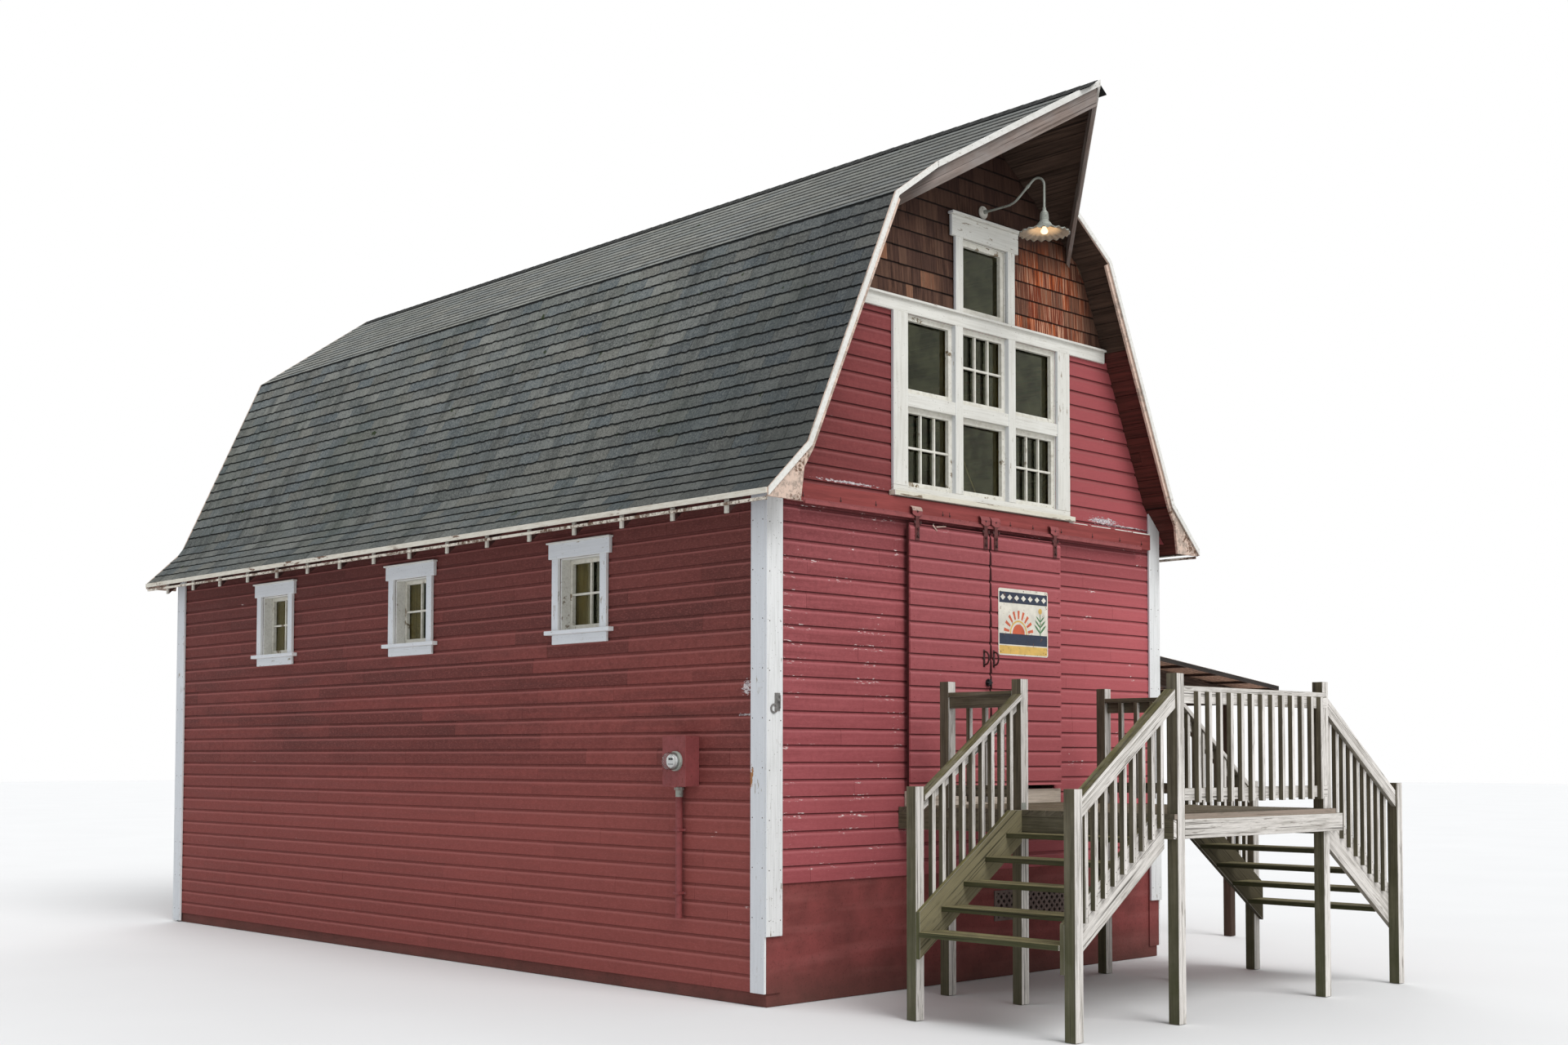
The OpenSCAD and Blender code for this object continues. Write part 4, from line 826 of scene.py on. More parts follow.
# One board in section: distance behind the wall's face and height, foot to cove and down the back
BOARD_H = 0.134
PROFILE = [
    (0.0, 0.0), (0.0, 0.104), (-0.0035, 0.108), (-0.0085, 0.114), (-0.0105, 0.122), (-0.0105, BOARD_H),
    (-SIDING, BOARD_H), (-SIDING, 0.0),
]


def clip(outline, lo, hi):
    """Section between two heights."""
    for sign, limit in ((1, lo), (-1, -hi)):
        kept = []
        for (d0, z0), (d1, z1) in zip(outline, outline[1:] + outline[:1]):
            f0, f1 = sign * z0 - limit, sign * z1 - limit
            if f0 >= 0:
                kept.append((d0, z0))
            if f0 * f1 < 0:
                k = f0 / (f0 - f1)
                kept.append((d0 + (d1 - d0) * k, z0 + (z1 - z0) * k))
        outline = kept
    return outline


def gaps(a0, a1, holes):
    """Stretches of a0 to a1 outside the holes."""
    spans = [(a0, a1)]
    for h0, h1 in holes:
        spans = [
            part for s0, s1 in spans
            for part in ((s0, min(s1, h0)), (max(s0, h1), s1)) if part[1] - part[0] > 0.01
        ]
    return spans


def holes_at(z, holes):
    return [h[0:2] for h in holes if h[2] < z < h[3]]


def strips(z0, z1, holes, marks=()):
    """Level strips that end at the marks and at the holes' feet and heads, with the holes in each."""
    levels = sorted({z0, z1, *marks} | {h for hole in holes for h in hole[2:4] if z0 < h < z1})
    for zl, zh in zip(levels, levels[1:]):
        yield zl, zh, holes_at((zl + zh) / 2, holes)


def side_boards(heap, at, axis, z0, z1, reach, holes, first=None, joints=(2.2, 4.6)):
    """Courses of siding from z0 to z1. reach(z) gives the two ends, holes are (a0, a1, z0, z1)."""
    z = z0 if first is None else first
    while z < z1 - 0.004:
        foot, head = max(z, z0), min(z + EXPOSURE, z1)
        ends = reach(foot) + reach(head)
        low, high = min(ends[0], ends[2]), max(ends[1], ends[3])
        cuts = [low + rng.uniform(0.3, joints[1])]
        while cuts[-1] < high:
            cuts.append(cuts[-1] + rng.uniform(*joints))
        cuts = [low - 1] + [c for c in cuts if c < high] + [high + 1]
        seeds = [rng.uniform(0, 100) for _ in cuts]
        proud = [rng.uniform(-0.0015, 0.0) for _ in cuts]
        for zl, zh, closed in strips(foot, head, holes):
            section = clip(PROFILE, zl - z, min(zh - z, BOARD_H))
            if len(section) < 3:
                continue
            for s0, s1 in gaps(low, high, closed):
                for i, (c0, c1) in enumerate(zip(cuts, cuts[1:])):
                    b0, b1 = max(s0, c0 + 0.001), min(s1, c1 - 0.001)
                    if b1 - b0 < 0.012:
                        continue
                    heap.skin([
                        [at(inner(b, reach(z + h)[end]), d + proud[i], z + h) for d, h in section]
                        for b, end, inner in ((b0, 0, max), (b1, 1, min))
                    ], axis, 0, seeds[i], (z, 1.0))
        z += EXPOSURE


def clad(at, axis, ends, inset, z0, z1, boards_top, holes, joints=(2.2, 4.6)):
    """Siding of one wall on a plain core that stops short of the ends."""
    heap = Heap()
    for zl, zh, closed in strips(z0, z1, holes):
        for span in gaps(ends[0] + inset, ends[1] - inset, closed):
            board(heap, at, span, (-SIDING, -WALL), (zl, zh), axis, 1)
    edges = (ends[0] + 0.01, ends[1] - 0.01)
    side_boards(heap, at, axis, z0, boards_top, lambda z: edges, holes, joints=joints)
    return heap


door_hole = (-DOOR_HALF, DOOR_HALF, DOOR_FOOT, DOOR_TOP)
group_hole = (-GROUP_HALF, GROUP_HALF, GROUP_Z, BELT_Z)
top_hole = (-TOP_HALF, TOP_HALF, TOP_Z, TOP_HEAD)
side_holes, rear_holes = (
    [(a - WIN_HALF, a + WIN_HALF, WIN_Z, WIN_HEAD) for a in places] for places in (WIN_Y, WIN_X)
)
across = (-HALF_W, HALF_W)

front = clad(front_at, X_AXIS, across, WALL, SILL, SPLIT_Z, SPLIT_Z, [door_hole])
for s in (-1, 1):
    a, b = sorted((s * (HALF_W - 0.001), s * IN_HALF))
    front.box((a, FRONT + 0.001, SIDE_SILL), (b, FRONT + 0.022, SILL), X_AXIS, 2)
piece(
    "front_siding", front, [FRONT_RED, INNER_WOOD, MASONRY], "red_siding", 0,
    "front_wall_left", "front_wall_right", "front_wall_over_door", "front_wall_under_door",
)
rear = clad(rear_at, X_AXIS, across, WALL, SIDE_SILL, SPLIT_Z, SPLIT_Z, rear_holes)
piece("rear_siding", rear, [SIDE_RED, INNER_WOOD], "red_siding", 0, "rear_wall")
tops = [z_over(*INNER[0:2], x) for x in (HALF_W - SIDING, HALF_W)]
for name, at in (("left", left_at), ("right", right_at)):
    wall = clad(
        at, Y_AXIS, (FRONT, REAR), SIDING, SIDE_SILL, tops[0], tops[1] - 0.02, side_holes, (0.8, 3.0),
    )
    piece(name + "_siding", wall, [SIDE_RED, INNER_WOOD], "red_siding", 0, name + "_wall")

GABLE_TOP = INNER[3][1] - 0.06
GABLE_STEP = 0.04
GABLE_FIRST = SPLIT_Z - 0.024
CEDAR_SHOWN, CEDAR_LAP = 0.150, 0.020


def gable_reach(z):
    w = x_under(z, ROOF_T + 0.004)
    return -w, w


def gable_core(at, holes):
    """Gable wall behind its cladding, cut in level strips that follow the roof."""
    heap = Heap()
    count = int((GABLE_TOP - SPLIT_Z) / GABLE_STEP) + 1
    steps = [round(SPLIT_Z + i * GABLE_STEP, 3) for i in range(count)]
    for zl, zh, closed in strips(SPLIT_Z, GABLE_TOP, holes, (*steps, INNER[1][1], INNER[2][1])):
        w0, w1 = min(x_under(zl), IN_HALF), min(x_under(zh), IN_HALF)
        for s0, s1 in gaps(-max(w0, w1), max(w0, w1), closed):
            outline = [(max(s0, -w0), zl), (min(s1, w0), zl), (min(s1, w1), zh), (max(s0, -w1), zh)]
            heap.skin([[at(a, d, z) for a, z in outline] for d in (-SIDING, -WALL)], X_AXIS, 1)
    return heap


def cedar_courses(heap, at, z, holes):
    """Split shingles of uneven width up to the ridge, each leaning on the course below."""
    while z < GABLE_TOP:
        head = min(z + CEDAR_SHOWN + CEDAR_LAP, GABLE_TOP + 0.01)
        a, high = gable_reach(z)
        w = gable_reach(head)[1]
        middle = (z + min(head, z + CEDAR_SHOWN)) / 2
        while a < high:
            b = min(a + rng.uniform(0.07, 0.19), high)
            foot = z + rng.uniform(-0.004, 0.004)
            butt = rng.uniform(0.010, 0.015) - SIDING
            start = max([foot] + [h[3] for h in holes if foot < h[3] < middle and a < h[1] and b > h[0]])
            seed = rng.uniform(0, 100)
            for s0, s1 in gaps(a + 0.0005, b - 0.0005, holes_at(middle, holes)):
                tips = [(max(min(s, w), -w), head) for s in (s1, s0)]
                outline = [(s0, start), (s1, start), *tips]
                tilt = (butt, butt, 0.002 - SIDING, 0.002 - SIDING)
                heap.skin([
                    [at(x, -SIDING - 0.001, h) for x, h in outline],
                    [at(x, d, h) for (x, h), d in zip(outline, tilt)],
                ], Z_AXIS, 2, seed, (z, 1.0))
            a = b
        z += CEDAR_SHOWN


gable = gable_core(front_at, [group_hole, top_hole])
side_boards(gable, front_at, X_AXIS, SPLIT_Z, BELT_Z + 0.02, gable_reach, [group_hole], GABLE_FIRST)
cedar_courses(gable, front_at, BELT_TOP - 0.012, [top_hole])
piece("front_gable_cladding", gable, [GABLE_RED, INNER_WOOD, CEDAR], "red_siding", 0, "front_gable")
gable = gable_core(rear_at, [top_hole])
side_boards(gable, rear_at, X_AXIS, SPLIT_Z, GABLE_TOP, gable_reach, [top_hole], GABLE_FIRST)
piece("rear_gable_cladding", gable, [SIDE_RED, INNER_WOOD], "red_siding", 0, "rear_gable")

# Roof
TAB, SHOWN, LAP = 0.305, 0.127, 0.035
SHEATHING, SHEATHING_TOP = 0.140, 0.028
CAP_W, CAP_SHOWN = 0.150, 0.150
BEYOND = -9


def straight_front(x):
    return ROOF_FRONT


def hood_front(x):
    if x >= HOOD_HALF:
        return ROOF_FRONT
    return FRONT - HOOD_REACH + x * (HOOD_REACH - OVER) / HOOD_HALF


def below(a, d, s, depth):
    """Place s along the line from a, and a depth under it."""
    return a[0] + d[0] * s - d[1] * depth, a[1] + d[1] * s + d[0] * depth


def sided(sign, outline):
    return [(sign * x, z) for x, z in outline]


def shingle_plane(heap, sign, path, y_front):
    """Courses of three-tab shingles up a path of (x, z) marks. y_front(x) is the front edge."""
    lengths = [dist(a, b) for a, b in zip(path, path[1:])]
    total = sum(lengths)

    def spot(s, depth):
        s = min(max(s, 0.0), total)
        for a, b, n in zip(path, path[1:], lengths):
            if s <= n or b is path[-1]:
                return below(a, unit(a, b), s, depth)
            s -= n

    s, row = 0.0, 0
    while s < total - 0.02:
        top = min(s + SHOWN + LAP, total)
        foot_z = spot(s, 0)[1]
        scale = SHOWN / (spot(min(s + SHOWN, total), 0)[1] - foot_z + 1e-6)
        y = ROOF_REAR + ((TAB / 2 if row % 2 else 0.0) + rng.uniform(-0.012, 0.012))
        while y > BEYOND:
            y1 = min(y, ROOF_REAR)
            y0 = y - TAB + rng.uniform(0.005, 0.008)
            y -= TAB
            foot = s + rng.uniform(-0.004, 0.004)
            lift = rng.uniform(-0.002, 0.001)
            low, high = (y_front(abs(spot(place, 0)[0])) for place in (foot, top))
            if y1 < min(low, high) + 0.01 or y1 <= y0:
                continue
            rings = [], []
            for place, depth, edge in (
                (foot, 0.002 - lift / 2, low), (foot, 0.012, low), (top, 0.014, high), (top, 0.011, high),
            ):
                x, z = spot(place, depth)
                rings[0].append((sign * x, max(y0, edge), z))
                rings[1].append((sign * x, max(y1, edge + 0.001), z))
            heap.skin(rings, Y_AXIS, 0, None, (foot_z, scale))
        s += SHOWN
        row += 1


def under_boards(heap, sign, a, b, y_front):
    """Sheathing boards on the roof's underside, from mark a to mark b, red on the lower slope."""
    length, d = dist(a, b), unit(a, b)
    s = 0.0
    while s < length - 0.01:
        top = min(s + SHEATHING, length)
        low, high = s + 0.002, top - 0.002
        marks = ((low, SHEATHING_TOP), (high, SHEATHING_TOP), (high, ROOF_T), (low, ROOF_T))
        ring = [(max(x, 0.001), z) for x, z in (below(a, d, *mark) for mark in marks)]
        x0, x1 = a[0] + d[0] * low, a[0] + d[0] * high
        fronts = [y_front(x) for x, z in ring]
        if x1 > HOOD_HALF:
            fronts = [max(y_front(x0), y_front(x1))] * 4
        cuts = [ROOF_REAR]
        while cuts[-1] > BEYOND:
            cuts.append(cuts[-1] - rng.uniform(2.4, 4.2))
        for y1, y0 in zip(cuts, cuts[1:]):
            edge = [max(y, y0 + 0.002) for y in fronts]
            if min(edge) > y1 - 0.02:
                continue
            heap.skin([
                [(sign * x, e, z) for (x, z), e in zip(ring, edge)], [(sign * x, y1, z) for x, z in ring],
            ], Y_AXIS, 2 + (ring[0][1] < 5.62))
        s = top


outer, deep = roof_line(0.013), roof_line(SHEATHING_TOP)
for name, sign in (("left", -1), ("right", 1)):
    low, high = Heap(), Heap()
    for i, marks in enumerate(((EAVE, KNEE), (KNEE, BREAK))):
        outline = [outer[i], outer[i + 1], deep[i + 1], deep[i]]
        low.drawn(sided(sign, outline), ROOF_FRONT, ROOF_REAR, Y_AXIS, 1)
        under_boards(low, sign, *marks, straight_front)
    shingle_plane(low, sign, [EAVE, KNEE, BREAK], straight_front)
    piece(
        "lower_roof_" + name, low, [ASPHALT, ROOF_EDGE, DARK_WOOD, SOFFIT_RED], "shingles", 0,
        "roof_lower_" + name,
    )
    for x_low, x_high in ((BREAK[0] - 0.02, HOOD_HALF), (HOOD_HALF, 0.0)):
        corners = ((outer, x_low), (outer, x_high), (deep, x_high), (deep, x_low))
        high.skin([
            [(sign * x, y_of(x), z_over(*line[2:4], x)) for line, x in corners]
            for y_of in (hood_front, lambda x: ROOF_REAR)
        ], Y_AXIS, 1)
    under_boards(high, sign, BREAK, RIDGE, hood_front)
    shingle_plane(high, sign, [BREAK, RIDGE], hood_front)
    piece("upper_roof_" + name, high, [ASPHALT, ROOF_EDGE, DARK_WOOD], "shingles", 0, "roof_upper_" + name)

cap = Heap()
slope = unit(BREAK, RIDGE)
foot = (-slope[0] * CAP_W, RIDGE[1] - slope[1] * CAP_W)
y = ROOF_REAR
while y > FRONT - HOOD_REACH + 0.05:
    y0 = max(y - 2 * CAP_SHOWN, FRONT - HOOD_REACH + 0.002)
    seed = rng.uniform(0, 100)
    for sign in (-1, 1):
        cap.skin([
            [(sign * x, end, z - drop) for (x, z), drop in zip((RIDGE, foot, foot, RIDGE), drops)]
            for end, drops in ((y0, (0, 0, 0.008, 0.008)), (y, (0.006, 0.006, 0.009, 0.012)))
        ], Y_AXIS, 0, seed)
    y -= CAP_SHOWN
piece("ridge_cap", cap, [ASPHALT], "shingles", 0)

# White trim and nails
TRIM_T, CORNER_W = 0.022, 0.150
NAIL_GAP = 0.38
nails = Heap()
corners = Heap()


def nail(x, y, z, normal, radius=0.0045):
    nails.disc((x, y, z), normal, radius, 0.0015, 7)


top_line = roof_line(ROOF_T + 0.002)[0:2]
x0, x1 = HALF_W - CORNER_W, HALF_W + TRIM_T
for sign in (-1, 1):
    for wall_y, way, foot_f, foot_s in ((FRONT, -1, SILL - 0.393, SIDE_SILL), (REAR, 1, 0.010, 0.010)):
        for x, foot, ys in (
            (x0, foot_f, (wall_y, wall_y + TRIM_T * way)),
            (HALF_W, foot_s, (wall_y - 0.001 * way, wall_y - 0.160 * way)),
        ):
            face = [(x, foot), (x1, foot), (x1, z_over(*top_line, x1)), (x, z_over(*top_line, x))]
            corners.drawn(sided(sign, face), *sorted(ys), Z_AXIS)
        z = foot_f + 0.12
        while z < 3.7:
            for x in (x0 + 0.025, x1 - 0.030):
                nail(sign * x, wall_y + 0.0215 * way, z, (0, way, 0), 0.005)
            for y in (0.025, 0.135):
                nail(sign * (x1 - 0.0005), wall_y - y * way, z + 0.02, (sign, 0, 0), 0.005)
            z += NAIL_GAP
piece("corner_trim", corners, [TRIM], "white_trim", 0.003, "corner_boards")

belt = Heap()
reach = x_under(BELT_TOP - 0.004) - 0.012
level(belt, front_at, 0, reach, (0, 0.025), (BELT_Z, BELT_TOP - 0.004))
level(belt, front_at, 0, reach, (0.025, 0.050), (BELT_TOP - 0.020, BELT_TOP))
piece("belt_trim", belt, [CASING], "white_trim", 0.003, "belt_boards")

CASE = (0, 0.030)
JAMB = (-0.060, 0.030)
MULLION = (0.307, 0.407)
LINING = (-0.0195, 0)
casing = Heap()
side = GROUP_HALF + 0.180
tall = (GROUP_Z + 0.020, BELT_Z)
for s in (-1, 1):
    board(casing, front_at, (s * GROUP_HALF, s * side), CASE, tall, Z_AXIS)
    board(casing, front_at, (s * MULLION[0], s * MULLION[1]), JAMB, tall, Z_AXIS)
level(casing, front_at, 0, GROUP_HALF, (-0.060, 0.026), (GROUP_Z + 0.688, GROUP_Z + 0.800))
level(casing, front_at, 0, side + 0.026, (0, 0.070), (GROUP_Z - 0.074, GROUP_Z - 0.030), slot=2)
level(casing, front_at, 0, side, CASE, (GROUP_Z - 0.029, GROUP_Z + 0.019))
level(casing, front_at, 0, GROUP_HALF, (-0.060, 0.004), (GROUP_Z, GROUP_Z + 0.020), slot=1)
for at, foot in ((front_at, BELT_TOP), (rear_at, TOP_Z)):
    for s in (-1, 1):
        board(casing, at, (s * TOP_HALF, s * (TOP_HALF + 0.097)), CASE, (foot, TOP_HEAD), Z_AXIS)
    level(casing, at, 0, TOP_HALF + 0.148, CASE, (TOP_HEAD, TOP_HEAD + 0.180))
    level(casing, at, 0, TOP_HALF + 0.167, (0, 0.060), (TOP_HEAD + 0.181, TOP_HEAD + 0.205))
level(casing, rear_at, 0, TOP_HALF + 0.120, (0, 0.050), (TOP_Z - 0.040, TOP_Z))
for at, half, z0, z1 in (
    (front_at, TOP_HALF, TOP_Z, TOP_HEAD), (rear_at, TOP_HALF, TOP_Z, TOP_HEAD),
    (front_at, GROUP_HALF, GROUP_Z, BELT_Z),
):
    for s in (-1, 1):
        board(casing, at, (s * (half - 0.008), s * half), LINING, (z0, z1), Z_AXIS, 1)
    level(casing, at, 0, half, LINING, (z1 - 0.006, z1), slot=1)
piece(
    "gable_casing_boards", casing, [CASING, EDGE_TRIM, SILL_TRIM], "white_trim", 0.003, "gable_window_casing",
)

LINER = (-0.0995, -0.0005)
shells = Heap()
openings = [(at, y, Y_AXIS) for at in (left_at, right_at) for y in WIN_Y]
openings += [(rear_at, x, X_AXIS) for x in WIN_X]
for at, a, axis in openings:
    upright = (WIN_Z + 0.024, WIN_HEAD)
    for s in (-1, 1):
        w = s * WIN_HALF
        board(shells, at, (a + w, a + w + s * 0.090), CASE, upright, Z_AXIS)
        board(shells, at, (a + w, a + w - s * 0.012), LINER, upright, Z_AXIS, 1)
    for extra, d, z0, z1, slot in (
        (0, LINER, WIN_HEAD - 0.012, WIN_HEAD, 1), (0.135, (0, 0.034), WIN_HEAD, WIN_HEAD + 0.130, 0),
        (0.150, (0, 0.052), WIN_HEAD + 0.130, WIN_HEAD + 0.146, 1),
        (0.160, (0, 0.060), WIN_Z - 0.012, WIN_Z + 0.024, 0), (0, (-0.095, 0), WIN_Z, WIN_Z + 0.0235, 0),
    ):
        level(shells, at, a, WIN_HALF + extra, d, (z0, z1), axis, slot)
    if at is left_at:
        level(shells, at, a, WIN_HALF + 0.090, (0, 0.025), (WIN_Z - 0.095, WIN_Z - 0.012), axis)
piece("side_casing_boards", shells, [TRIM, EDGE_TRIM], "white_trim", 0.003, "window_casings")

inner = Heap()
for x in (-1.060, -0.357, 0.357, 1.060):
    board(inner, front_at, (x - 0.045, x + 0.045), (-0.165, -0.075), (GROUP_Z - 0.05, BELT_Z + 0.05), Z_AXIS)
level(inner, front_at, 0, 1.10, (-0.200, -0.1655), (GROUP_Z + 0.690, GROUP_Z + 0.780))
bow = ((-0.26, 0.095, 4.60), (-0.12, 0.094, 4.37), (0.02, 0.095, 4.15))
inner.tube([(x, FRONT + y, z) for x, y, z in bow], 0.006, 8, 1)
for y in WIN_Y:
    for s in (-1, 1):
        a, b = sorted((s * (IN_HALF - 0.002), s * (IN_HALF - 0.028)))
        inner.box((a, y + 0.075, WIN_Z - 0.12), (b, y + 0.300, WIN_HEAD + 0.10), Z_AXIS)
piece("inner_posts", inner, [POST_WOOD, TAN_BOARD], "floor_wood", 0.003)

# Hood
SLOPE_UP = (RIDGE[1] - BREAK[1]) / BREAK[0]
ROOF_PLUMB = ROOF_T * hypot(1, SLOPE_UP)
EDGE_RUN = (HOOD_REACH - OVER) / HOOD_HALF


def hood_spot(sign, x, back, drop):
    """Place under the hood, a distance behind its edge and a drop below the roof's underside."""
    y = min(FRONT - HOOD_REACH + back + x * EDGE_RUN, FRONT)
    return sign * x, y, RIDGE[1] - ROOF_PLUMB - x * SLOPE_UP - drop


brow, rafters = Heap(), Heap()
for sign in (-1, 1):
    brow.skin([
        [
            hood_spot(sign, (HOOD_REACH - back) / EDGE_RUN * end, back, drop)
            for back, drop in ((0.012, 0.0005), (0.012, 0.1555), (0.056, 0.1555), (0.056, 0.0005))
        ] for end in (0, 1)
    ], (sign, 1, -SLOPE_UP))
    marks = ((0.5225, 0.001), (0.5225, 0.029), (0.6575, 0.029), (0.6575, 0.001))
    ring = [hood_spot(sign, x, 0.056, drop) for x, drop in marks]
    rafters.skin([ring, [(x, FRONT, z) for x, y, z in ring]], Y_AXIS)
timber = [(0, 0), (0.020, 0.020 * SLOPE_UP), (0.020, 0.150), (-0.020, 0.150), (-0.020, 0.020 * SLOPE_UP)]
rafters.drawn(
    [(x, INNER[3][1] - drop) for x, drop in timber], FRONT - HOOD_REACH + 0.090, FRONT, Y_AXIS,
)
piece("hood_brow", brow, [BARE], "bare_trim", 0.003, "hood_fascia")
piece("hood_rafters", rafters, [DARK_WOOD], "dark_wood", 0.003, "hood_timbers")

# Lean-to
LEAN_Z, LEAN_TAN, LEAN_T = 2.905, tan(radians(6)), 0.045
LEAN_WAY = (1, 0, -LEAN_TAN)
UNDER = LEAN_T + 0.0004
(x_high, lean_y0, _), (x_low, lean_y1, _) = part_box("lean_to_roof")


def lean_top(x):
    return LEAN_Z - (x - HALF_W) * LEAN_TAN


def fall_board(heap, xs, drop, depth, ys, axis=LEAN_WAY, slot=0, flat=False):
    """Board along the slope, from a drop to a depth below it; a flat one has a level foot."""
    (xa, xb), (za, zb) = xs, [lean_top(x) for x in xs]
    foot = (za if flat else zb) - depth
    heap.drawn([(xa, za - drop), (xb, zb - drop), (xb, foot), (xa, za - depth)], *ys, axis, slot)


shed = Heap()
y = lean_y0 + 0.0205
while y < lean_y1 - 0.03:
    y_end = min(y + rng.uniform(0.125, 0.150), lean_y1 - 0.0205)
    x_cut = rng.uniform(x_high + 0.7, x_low - 0.7)
    for xs in ((x_high, x_cut - 0.001), (x_cut + 0.001, x_low)):
        fall_board(shed, xs, 0.001, 0.025, (y + 0.0015, y_end - 0.0015))
    y = y_end
for y, y_in in ((lean_y0, lean_y0 + 0.020), (lean_y1, lean_y1 - 0.020)):
    for slot, drop, depth in ((2, 0.004, LEAN_T - 0.0005), (3, 0.0, 0.0035)):
        fall_board(shed, (x_high, x_low), drop, depth, (y, y_in), slot=slot)
for x in (x_high + 0.05, x_high + 0.62, x_high + 1.2, x_high + 1.78, x_low - 0.05):
    z = lean_top(x + 0.05)
    corner = (min(x + 0.05, x_low), lean_y1 - 0.02, z - 0.0255)
    shed.box((min(x, x_low - 0.05), lean_y0 + 0.02, z - LEAN_T), corner, Y_AXIS, 1)
piece(
    "lean_to_boards", shed, [SHED_TOP, DARK_WOOD, SHED_EDGE, EDGE_TRIM], "dark_wood", 0.001, "lean_to_roof",
)

stand = Heap()
LEAN_POST = 0.090
y0, y1 = lean_y0 + 0.480, lean_y1 - 0.200
end_x = x_low - 0.080
post = (x_low - 0.280, x_low - 0.280 + LEAN_POST)
half = LEAN_POST / 2
ledger = (HALF_W + 0.0005, HALF_W + LUMBER)
fall_board(stand, ledger, UNDER, UNDER + 0.190, (lean_y0 + 0.070, y1 + half), Y_AXIS, flat=True)
for y in (y0, (y0 + y1) / 2, y1):
    fall_board(stand, (HALF_W + 0.001, end_x), UNDER, UNDER + JOIST, (y - half, y + half))
    stand.box((post[0], y - half, 0), (post[1], y + half, lean_top(post[1]) - UNDER - 0.020), Z_AXIS)
fall_board(stand, post, UNDER, UNDER + 0.180, (y0, y1), Y_AXIS, flat=True)
piece("lean_to_timbers", stand, [DARK_WOOD], "dark_wood", 0.003, "lean_to_frame")

# Floor
PLANK_T, PLANK_W = 0.025, 0.137
inside = Heap()
ends = (FRONT + WALL, REAR - WALL)
inside.box((-IN_HALF, ends[0], DOOR_FOOT - 0.140), (IN_HALF, ends[1], DOOR_FOOT - 0.026), Y_AXIS)
x = -IN_HALF
while x < IN_HALF - 0.01:
    x_end = min(x + PLANK_W, IN_HALF)
    cut = rng.uniform(-3.0, 3.0)
    for ya, yb in ((ends[0], cut - 0.001), (cut + 0.001, ends[1])):
        inside.box((x + 0.001, ya, DOOR_FOOT - PLANK_T), (x_end - 0.001, yb, DOOR_FOOT), Y_AXIS)
    x = x_end
piece("floor_planks", inside, [FLOOR_WOOD], "floor_wood", 0, "floor")

# Weathered timber of the deck and steps
WEATHERED = "weathered_wood"
TOP = DECK_Z - DECK_T
RAIL_POSTS = [(DECK_X0, y) for y in (WALL_POST_Y, LANDING_Y, OUTER_Y)]
RAIL_POSTS += [(INNER_POST, y) for y in (WALL_POST_Y, LANDING_Y, RIGHT_OUTER_Y)]
NEWELS = [(NEWEL_LEFT, y) for y in (OUTER_Y, LANDING_Y)]
NEWELS += [(NEWEL_RIGHT, y) for y in (RIGHT_OUTER_Y, LANDING_Y)]
posts = Heap()
for places, height in ((RAIL_POSTS, POST_TOP), (NEWELS, NEWEL_TOP)):
    for x, y in places:
        posts.box((x, y, 0), (x + POST, y + POST, height), Z_AXIS)
low = (DECK_X0 + 0.004, LANDING_Y - 0.0015, DECK_Z + 0.002)
posts.box(low, (DECK_X0 + 0.060, LANDING_Y + 0.001, DECK_Z + 0.055), Z_AXIS, 1)
piece("timber_posts", posts, [DECK_WOOD, GALVANISED], WEATHERED, 0.003, "deck_posts")

rims = Heap()
rims.box((RIM_X0, OUTER_Y + 0.010, TOP - JOIST), (DECK_X0, FRONT, TOP), Y_AXIS)
rims.box((DECK_X1, RIGHT_OUTER_Y, TOP - JOIST), (RIM_X1, FRONT, TOP), Y_AXIS)
rims.box((DECK_X0 + POST, OUTER_Y, TOP - JOIST), (DECK_X1 + 0.145, OUTER_Y + LUMBER, TOP))
# The rim against the wall takes the mossy timber, darkened as painted shade.
rims.box((DECK_X0 + POST, FRONT - LUMBER, TOP - JOIST), (DECK_X1, FRONT, TOP), X_AXIS, 1)
x = DECK_X0 + 0.450
while x < DECK_X1 - 0.300:
    rims.box((x, OUTER_Y + LUMBER, TOP - JOIST), (x + LUMBER, FRONT - LUMBER, TOP), Y_AXIS)
    x += 0.400
piece("timber_frame", rims, [DECK_WOOD, MOSSY_SHADED_WOOD], WEATHERED, 0.002, "deck_frame")

planks = Heap()
edges = [OUTER_Y]
DECK_PLANK, DECK_END = 0.143, FRONT - 0.004
while edges[-1] < DECK_END:
    edges.append(min(edges[-1] + DECK_PLANK, DECK_END))
for y0, y1 in zip(edges, edges[1:]):
    seed = rng.uniform(0, 100)
    ends = {h for x, y in RAIL_POSTS for h in (y, y + POST) if y0 + 0.002 < h < y1 - 0.002}
    levels = sorted({y0 + 0.0015, y1 - 0.0015} | ends)
    for ya, yb in zip(levels, levels[1:]):
        middle = (ya + yb) / 2
        near = [x for x, y in RAIL_POSTS if y - 0.001 < middle < y + POST + 0.001]
        for x0, x1 in gaps(RIM_X0, RIM_X1, [(x - 0.003, x + POST + 0.003) for x in near]):
            planks.box((x0, ya, TOP), (x1, yb, DECK_Z), X_AXIS, 0, seed)
    for x in (RIM_X0 + 0.019, -0.6, -0.2, 0.2, 0.6, RIM_X1 - 0.019):
        for y in (y0 + 0.03, y1 - 0.03):
            nail(x, y, DECK_Z - 0.0005, Z_AXIS)
piece("timber_planks", planks, [PLANK_WOOD], WEATHERED, 0, "deck_boards")

sill = Heap()
sill.box(*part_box("door_threshold"))
piece("door_sill", sill, [SILL_BLOCK], WEATHERED, 0.004, "door_threshold")

